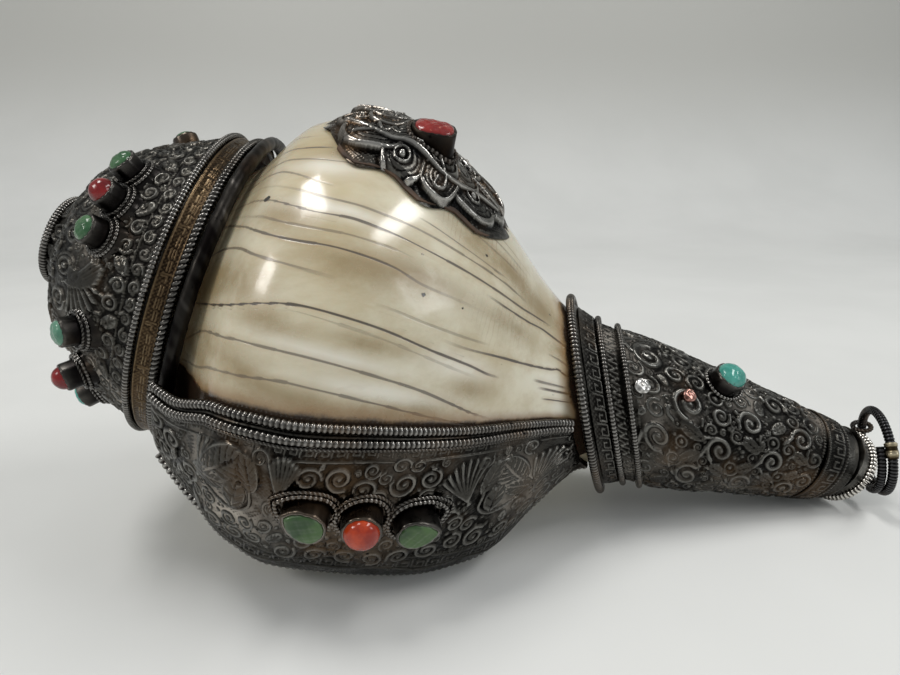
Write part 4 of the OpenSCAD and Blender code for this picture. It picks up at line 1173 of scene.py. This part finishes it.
def make_lip():
    s = lip_relief()
    U, V = np.meshgrid(np.linspace(0, 1, 470), np.linspace(0, 1, 190), indexing="ij")
    t = plate_station(U, V)
    phi = V * curve(REACH, t)
    a = LIP - phi
    h, cav = s.at(t, a)
    swell = 0.35 * np.sin(t * 0.31) * np.sin(a * 0.4) - 0.15
    edge = np.minimum(np.minimum(U * 108, (1 - U) * 108), np.minimum(V, 1 - V) * 46)
    lift = np.where(edge < 0.05, 0.6, 1.55 + (h * 1.05 + swell) * ease(edge / 2))
    out = polar(t, a, under_plate(t, phi) + lift)
    dust = (np.exp(-(((t - 21) / 12) ** 2)) * 1.2 + np.exp(-(((t - 80) / 14) ** 2) - ((a + 64) / 10) ** 2)
            + np.exp(-(((t - 45) / 13) ** 2) - ((a + 68) / 4) ** 2))
    front = part(out, height=h, cavity=cav, dusty=np.clip(dust, 0.15, 1))
    U, V = np.meshgrid(np.linspace(0, 1, 60), np.linspace(0, 1, 16), indexing="ij")
    behind = part(plate_at(U, V, 0.6), cavity=-0.6)
    piece("lip_relief_sheet", "lip_plate", [front, behind], "relief", "oxidised_silver")


def make_lip_wires():
    w = np.linspace(0, 1, 200)
    ts = plate_station(w, 1.0 + 0 * w)
    reach = curve(REACH, ts)

    def beside(degrees, height):
        """Path along the plate's upper edge, so many degrees above it."""
        return polar(ts, LIP - reach - degrees, under_plate(ts, reach + degrees) + height)

    wire("lip_bead_row", "lip_beaded_wire", beside(1.5, 1.35), 0.15, beads(1.12, 1.15, 0.4), 12)
    ropes = [tube(along(beside(-1.1, 2.3), 0.15), radial, beads(0.95, 1.2, 0.4), 12),
             tube(along(beside(-2.6, 2.1), 0.2), radial, rope(0.5, 0.9), 10)]
    piece("lip_rope_row", "lip_rope_wire", ropes, "wire", "dark_silver")
    ts = plate_station(w, 0 * w)
    r = np.maximum(shell_r(ts, 0) + 0.3, bridge_r(ts) + 1.7)
    low = polar(ts, LIP + np.degrees(np.arcsin(1.6 / r)), r)
    wire("lip_heavy_ribs", "lip_ribbed_wire", low, 0.16, ribs(1.5, 1.7, 0.36), 16, "ribbed")


def make_lip_stones():
    def surface(t, b):
        return shell_r(t, LIP - b)

    for i, (t, a, spin) in enumerate(LIP_STONES, 1):
        coral = i == 2
        r, shape = (4.5, None) if coral else (4.1, drop_outline(4.1, 6.4))
        leaning = math.degrees(math.atan(-0.12 * (i - 1)))
        put = on_surface(t, a, float(surface(t, a)) + 2.95, leaning, spin, 12)
        cup = placed(put, bezel(r, 4.2, shape))
        cup.append(foot_ring(put, r + 1.1, surface, 2.75, beads(0.62, 1.1), shape))
        cup.append(foot_ring(put, r + 2, surface, 2.4, rope(0.5, 1.0), shape))
        piece(f"lip_cup_{i}", f"lip_bezel_{i}", cup, "wire", "dark_silver")
        body = gem(3.95, 4.1, 2.9, None, 2.0, 0.02) if coral else gem(3.45, 4.0, 0.9, shape, 4, 0.1)
        look, slot = ("orange", "orange_coral") if coral else ("leaf_green", "green_stone")
        piece(f"lip_gem_{i}", f"lip_stone_{i}", placed(put, body), look, slot)


# ---- Tail sleeve ----

SLEEVE_END = 188.5
TURQUOISE = (141.4, -151.5)  # station and angle


def sleeve_scale(x):
    return float(curve(SLEEVE, x)) * math.radians(1)


def sleeve_relief():
    s = Relief(104, 190, -274, 94, sleeve_scale, 0.17)
    rows = ((127.6, 4.2, 6), (136.6, 4.4, 6), (145.4, 4.0, 6), (153.6, 3.7, 6), (161.4, 3.5, 6),
            (169, 3.3, 6))
    for n, (x, r, count) in enumerate(rows):
        for m in range(count):
            y = -270 + 360 * (m + 0.5 * (n % 2)) / count
            hand = 1 if (m + n) % 2 else -1
            s.volute(x, y, r, 1.05, 1.3 * hand + 0.4 * n, hand, 1.3, r * 0.21, False)
            s.bead(x, y, r * 0.3, 0.9)
            k = sleeve_scale(x)
            side = hand * r / k
            stem = ((-r, 0), (-r - 1.6, 0.9), (-1.5, 1.6), (r + 0.5, 1.75), (r + 3, 1.2))
            s.stroke([(x + f, y + side * g) for f, g in stem], 0.85, 1.0, (1, 0.5))
            s.leaf(x + 0.6, y + side * 1.62, r * 1.7, r * 0.95, 0.5 * hand, 0.8, 4)
            for f in (0.7, 1.5, 2.3):
                root = (x + r * math.cos(f), y + side * math.sin(f) * 1.05)
                tip = (x + r * 1.35 * math.cos(f + 0.3), y + side * 1.3 * math.sin(f + 0.3))
                s.stroke([root, tip], 0.38, 0.75, (1, 0.5))
            s.keep(x, y, r)
            s.keep(x, y + side * 1.62, r * 0.55)
    s.fill(lambda x, y: 123.2 < x < 175.4, 0.4, 2.6, 6000, cap_filler(s))
    s.fret(False, -272, 92, lambda y: 110.2, lambda y: 114, 9.2, 0.26, 0.5)
    for n, y in enumerate(np.arange(-272, 92, 7.4)):
        s.stroke([(116.4, y), (118.2, y + 2.2), (116.6, y + 4.4), (119.2, y + 5.4)], 0.3, 0.5)
        s.bead(118.9, y + 1.2, 0.5, 0.5)
    s.fret(False, -272, 92, lambda y: 179.2, lambda y: 183.4, 17.5, 0.3, 0.5)
    for x, r in ((176.6, 0.42), (178.2, 0.3), (184.4, 0.42), (123, 0.3)):
        s.bead_line([(x, -273), (x, 93)], r, 2.3 * r, 0.5)
    s.done(0.08)
    return s


def make_sleeve():
    s = sleeve_relief()
    q = np.linspace(SLEEVE_MOUTH, SLEEVE_END, 290)
    a = np.concatenate([np.linspace(-215, -20, 240, endpoint=False),
                        np.linspace(-20, 145, 90, endpoint=False)])
    Q, A = np.meshgrid(q, a, indexing="ij")
    h, cav = s.at(Q, (A + 270) % 360 - 270)
    soft = ease((Q - SLEEVE_MOUTH) / 1.2) * ease((SLEEVE_END - Q) / 1.2)
    dent = 0.25 * np.sin(np.radians(A) * 4 + Q * 0.21) + 0.2 * np.sin(np.radians(A) * 9 + Q * 0.4)
    out = sleeve_at(Q, A, (h * 0.95 - 0.2 + dent * 0.6) * soft)
    inner = sleeve_at(np.linspace(SLEEVE_END, SLEEVE_MOUTH, 14)[:, None], a[None], -0.9)
    dusty = np.clip(0.25 + 0.5 * np.sin(Q * 0.2) * np.sin(np.radians(A) * 3), 0, 1)
    made = closed_sheet(out, inner, h, cav, -0.6, dusty=dusty)
    piece("sleeve_relief_sheet", "tail_sleeve", [made], "relief", "oxidised_silver")

    loop = np.linspace(-180, 180, 400)

    def around(name, node, station, height, radius, step, sides):
        wire(name, node, sleeve_at(station + 0 * loop, loop, height), step, radius, sides, closed=True)

    around("sleeve_mouth_ribs", "sleeve_mouth_wire", 107.2, 1.0, ribs(1.25, 1.15, 0.24), 0.14, 14)
    around("sleeve_middle_beads", "sleeve_middle_wire", 115.2, 0.9, beads(0.95, 1.1, 0.4), 0.14, 12)
    around("sleeve_inner_beads", "sleeve_inner_wire", 121, 0.8, beads(0.9, 1.0, 0.4), 0.13, 12)

    bands = (("sleeve_fret", "sleeve_key_band", 109.3, 114), ("tail_fret", "tail_key_band", 177.6, 184.6))
    for name, node, low, high in bands:
        y = np.linspace(-270, 90, 640, endpoint=False)
        X, Y = np.meshgrid(np.linspace(low, high, 30), y, indexing="ij")
        h, cav = s.at(X, Y)
        rim = np.stack([sleeve_at(z + 0 * y, y, 0.02) for z in (high, low)])
        made = closed_sheet(sleeve_at(X, Y, 0.35 + h * 0.75), rim, h, cav)
        piece(name, node, [made], "relief", "oxidised_silver")


def make_sleeve_stones():
    def spot(t, a, height, leaning, spin):
        return on_surface(t, a, sleeve_ring(t, a) + height, leaning, spin)

    def surface(t, b):
        return np.array([sleeve_ring(u, v) for u, v in zip(t, b)])

    def oval(a):
        return 1 + 0.16 * np.cos(a) ** 2

    put = spot(*TURQUOISE, 0.75, -8, 35)
    piece("sleeve_gem", "sleeve_turquoise", placed(put, gem(4.1, 3.0, 3.0, oval, 2.1, 0.08)),
          "turquoise", "turquoise")
    cup = placed(put, bezel(4.6, 3.3, oval)) + [foot_ring(put, 5.5, surface, 0.6, beads(0.6, 1.1), oval)]
    piece("sleeve_gem_cup", "sleeve_bezel", cup, "wire", "dark_silver")
    studs = (("silver_stud", "sleeve_silver_stud", 114, -122, 2.2, "bright", "bright_silver"),
             ("copper_stud", "sleeve_copper_stud", 128.7, -126, 1.9, "copper", "copper"))
    for name, node, t, a, r, look, slot in studs:
        put = spot(t, a, 0.2, -4, 20)
        p, f, made = gem(r, 0.9, 0.75, lambda b: 1 + 0.12 * np.cos(b) ** 2, 2.2, 0.12)
        made["cavity"] = 0.3 * np.sin(p[:, 0] * 3) * np.sin(p[:, 1] * 2.4)
        piece(name, node, placed(put, (p, f, made)), look, slot)


# ---- Tail, collar and ring ----

EYELET_R = 2.5
EYELET_TURN = 13  # degrees round the ring, where the eyelet holds it
RIM_STEP = -2.7  # the ferrule's wide part is below this


def make_tail():
    a = np.linspace(0, TAU, 240, endpoint=False)
    profile = [[9.4, 0], [9.45, RIM_STEP], [10.9, -2.85], [11.1, -3.4], [11.3, -4.6], [11.5, -6], [8.4, -6],
               [8.4, -1.2], [0.03, -1.2], [0.03, 0]]
    fine = finer(profile, 90)
    pts = revolve(fine, 240)
    scar = np.exp(-(((np.degrees(a) - 262 + 180) % 360 - 180) / 24) ** 2)
    worn = scar[None] * (fine[:, 1:] < RIM_STEP) * (fine[:, :1] > 10)
    pts[..., :2] *= 1 + (0.012 * np.sin(13 * a) * np.sin(5 * a + 1))[None, :, None]
    cavity = -0.1 + 1.2 * worn + 0.3 * np.sin(9 * a)[None]
    piece("tail_end_cup", "tail_ferrule", [part(pts, True, True, cavity=cavity, height=0.3 + 0 * worn)],
          "relief", "oxidised_silver", on_tail)
    wire("tail_ribbed_ring", "tail_ribbed_collar", hoop(10.85, -1.35), 0.1, ribs(1.42, 1.15, 0.3), 16,
         "worn", "worn_silver", True, place=on_tail)


def make_ring():
    def arc(name, node, r, off, start, sweep, step, radius, sides, look, slot, closed=False):
        b = np.radians(np.linspace(start, start + sweep, 300))
        path = np.stack([r * np.cos(b), r * np.sin(b), off + 0 * b], -1)
        wire(name, node, path, step, radius, sides, look, slot, closed, place=on_ring, body="ring")

    def joint(s, a):
        return 1.62 + 0.1 * np.sin(2.4 * s + 1) * (s > 0) + 0.03 * np.sin(9 * s)

    black = ("black", "black_wire")
    arc("ring_wound_wire", "suspension_ring", RING_R, 0, 0, 360, 0.14, ribs(1.32, 1.0, 0.2), 16, *black,
        True)
    arc("ring_wound_second", "ring_second_turn", 11.6, -2.6, 150, 110, 0.14, ribs(1.2, 1.0, 0.2), 16,
        *black)
    arc("ring_brass_joint", "ring_joint_sleeve", RING_R, 0, 146, 20, 0.12, joint, 20, "brass", "brass")
    b = math.radians(EYELET_TURN)
    centre = np.array([RING_R * math.cos(b), RING_R * math.sin(b), 0])
    path = hoop(EYELET_R, 0, 160) @ turn("x", 90).T @ turn("z", EYELET_TURN).T + centre
    eyelet = tube(along(path, 0.12), lambda p: p - centre, rope(0.78, 0.9), 12, True)
    piece("ring_loop", "ring_eyelet", [eyelet], "dark", "dark_silver", on_ring)


# ---- Crest plaque ----

CREST = (41, -160)  # station and angle of its middle
CREST_STONE = (41, -155)


def crest_relief():
    s = Relief(-28, 28, -26, 26, lambda x: 1.0, 0.16)

    def lobe(x, y, r, heading, h, lines=5, long=1.35):
        """Domed lobe with engraved lines that follow its rounded border."""
        w, dx, dy = s.near(x, y, r * long * 1.1)
        e = dx * math.cos(heading) + dy * math.sin(heading)
        f = np.hypot(e / long, -dx * math.sin(heading) + dy * math.cos(heading)) / r
        f = f * (1 + 0.07 * np.cos(3 * np.arctan2(dy, dx) - 3 * heading))
        dome = h * (0.5 + 0.5 * np.sqrt(np.maximum(1 - f**2, 0)))
        cut = 0.13 * h * (np.abs(np.sin(lines * math.pi * f)) < 0.35) * (f < 0.82)
        roll = 0.28 * h * np.sqrt(np.maximum(1 - ((f - 0.9) / 0.1) ** 2, 0))
        s.h[w] = np.where(f < 1, np.maximum(dome - cut + roll, s.h[w] - 0.55), s.h[w])

    for n in range(11):
        f = TAU * n / 11 + 0.2
        lobe(17.2 * math.cos(f), 13.4 * math.sin(f), 5.2 + 0.7 * math.sin(2.1 * n), f + 0.8 * (-1) ** n,
             1.9 + 0.3 * math.cos(3 * n), 5)
    for n in range(7):
        f = TAU * n / 7 - 0.4
        lobe(10.4 * math.cos(f), 7.6 * math.sin(f) - 0.5, 4.7, f - 0.9 * (-1) ** n,
             2.5 + 0.3 * math.sin(5 * n), 4, 1.5)
    for n in range(11):
        f = TAU * n / 11 + 0.2
        x, y = 17.6 * math.cos(f), 13.8 * math.sin(f)
        if n % 2:
            s.bead(x, y, 1.15, 2.9)
            s.ring(x, y, 1.8, 0.3, 2.4)
        else:
            hook = [(x * 0.7, y * 0.7), (x * 0.92 + 1.4, y * 0.95), (x * 1.18, y * 1.16),
                    (x * 1.14 - 1.8, y * 1.2)]
            s.stroke(hook + [(x - 0.9, y)], 0.7, 2.7, (1, 0.6))
    s.stroke([(-19, -4), (-12, 1), (-5, -4), (3, -6), (11, -3), (18, -7), (22, -4)], 1.5, 3.0, (0.6, 1))
    s.stroke([(-20, 5), (-12, 9), (-3, 10), (5, 12), (13, 8), (20, 5)], 1.2, 2.8, (1, 0.5))
    for n in range(26):
        s.bead(-19 + 1.5 * n, 0.6 * math.sin(n) - 4 + 3 * math.sin(0.42 * n), 0.36, 3.15)
    s.done(0.07)
    return s


def crest_half(w):
    return 20.5 * np.sqrt(np.maximum(1 - np.abs(w) ** 3, 0)) * (0.92 + 0.08 * np.cos(np.radians(540 * w)))


def make_crest():
    s = crest_relief()
    W, V = np.meshgrid(np.linspace(-0.985, 0.985, 270), np.linspace(-1, 1, 230), indexing="ij")
    lobes = 1 + 0.04 * np.cos(9 * np.arctan2(V, W * 1.2)) * np.maximum(np.abs(V), np.abs(W)) ** 2
    X, Y = 25 * W * lobes, crest_half(W) * V * lobes
    h, cav = s.at(X, Y)
    edge = np.minimum(1 - np.abs(V), (0.985 - np.abs(W)) * 1.3)
    plump = ease(edge / 0.12)
    t, a = CREST[0] + X, CREST[1] + Y / 55 * 180 / math.pi
    lengthwise, across = (t - CREST_STONE[0]) / 7.5, (a - CREST_STONE[1]) * 0.96 / 7.5
    boss = 2.4 * np.exp(-(lengthwise**4) - across**4)
    lift = 0.5 + plump * (0.5 + 1.0 * (1 - V**4) * (1 - W**4)) + h * ease(edge / 0.06) * 0.9 + boss
    phi = (LIP - a) % 360
    front = part(polar(t, a, shell_r(t, phi) + lift), height=h * 0.4, cavity=cav - 0.1)
    t, a, phi = t[::8, ::8], a[::8, ::8], phi[::8, ::8]
    behind = part(polar(t, a, shell_r(t, phi) + 0.45), cavity=-0.8)
    piece("crest_cast_plate", "crest_plaque", [front, behind], "cast", "dark_silver")


def make_crest_stone():
    def surface(t, b):
        return shell_r(t, (LIP - b) % 360)

    def box(a):
        return 1 + 0.13 * np.cos(2 * a) + 0.06 * np.cos(4 * a + math.pi)

    put = on_surface(*CREST_STONE, float(surface(*CREST_STONE)) + 4.75, 6)
    cup = placed(put, bezel(4.9, 4.6, box)) + [foot_ring(put, 5.9, surface, 6.0, beads(0.7, 1.2), box)]
    piece("crest_cup", "crest_bezel", cup, "dark", "dark_silver")
    piece("crest_gem", "crest_coral", placed(put, gem(4.3, 4.2, 1.4, box, 2.6, 0.06)), "crest_coral",
          "coral")


make_shell()
make_cap()
make_cap_wires()
make_cap_band()
make_mouthpiece()
make_cap_stones()
make_lip()
make_lip_wires()
make_lip_stones()
make_sleeve()
make_sleeve_stones()
make_tail()
make_ring()
make_crest()
make_crest_stone()
for name in ("cap_pitch", "sleeve_pitch", "crest_pitch"):
    lac = frame["nodes"][name].data.materials
    lac.clear()
    lac.append(LOOKS["lac"])

# ---- Floor, light and camera ----


def show(name, data):
    o = bpy.data.objects.new(name, data)
    bpy.context.scene.collection.objects.link(o)
    return o


def make_floor():
    """A table that bends up into a wall. Lengths here and below are in metres."""
    half, bend_at, radius, top = 3.0, 0.55, 0.5, 2.4
    turns = np.linspace(0.1, math.pi / 2, 12)
    bend = [(bend_at + radius * math.sin(f), radius - radius * math.cos(f)) for f in turns]
    line = [(-2.0, 0.0), (bend_at, 0.0), *bend, (bend_at + radius, top)]
    me = bpy.data.meshes.new("floor")
    faces = [(2 * i, 2 * i + 1, 2 * i + 3, 2 * i + 2) for i in range(len(line) - 1)]
    me.from_pydata([(x, y, z) for y, z in line for x in (-half, half)], [], faces)
    for p in me.polygons:
        p.use_smooth = True
    me.materials.append(floor_look())
    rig.stage(show("floor", me))


def light(name, place, size, power, colour):
    data = bpy.data.lights.new(name, "AREA")
    data.shape, data.size, data.size_y = "RECTANGLE", *size
    data.energy, data.color = power, colour
    o = show(name, data)
    o.location = place
    o.rotation_euler = (Vector(AIM) - Vector(place)).to_track_quat("-Z", "Y").to_euler()


AIM = (-0.02, 0, 0.05)
make_floor()
light("overhead", (-0.40, -0.05, 1.25), (0.5, 0.26), 5.9, (1.0, 0.98, 0.95))
light("right_strip", (0.75, -0.12, 0.95), (0.7, 0.16), 3.9, (1.0, 0.99, 0.97))
light("left_panel", (-1.0, -0.5, 0.85), (0.3, 0.3), 3.6, (1.0, 0.97, 0.93))
light("window", (1.3, -0.55, 0.6), (0.5, 0.4), 2.4, (0.95, 0.98, 1.0))
world = bpy.data.worlds.new("room")
world.use_nodes = True
sky = world.node_tree.nodes["Background"].inputs
sky["Color"].default_value = (0.86, 0.88, 0.88, 1)
sky["Strength"].default_value = 0.47
bpy.context.scene.world = world
bpy.context.scene.view_settings.view_transform = "Standard"

cam = bpy.data.cameras.new("camera")
cam.lens, cam.sensor_width, cam.clip_start, cam.clip_end = 26.0, 36.0, 0.01, 20
camera = show("camera", cam)
camera.location = (-0.0229, -0.17835, 0.1061)
camera.rotation_euler = (math.radians(74.34), 0, math.radians(-3))
bpy.context.scene.camera = camera

with open("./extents.json", "w") as f:
    json.dump({"loaded": [list(map(float, v)) for v in LOADED],
               "finished": [list(map(float, v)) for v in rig.bounds()]}, f)
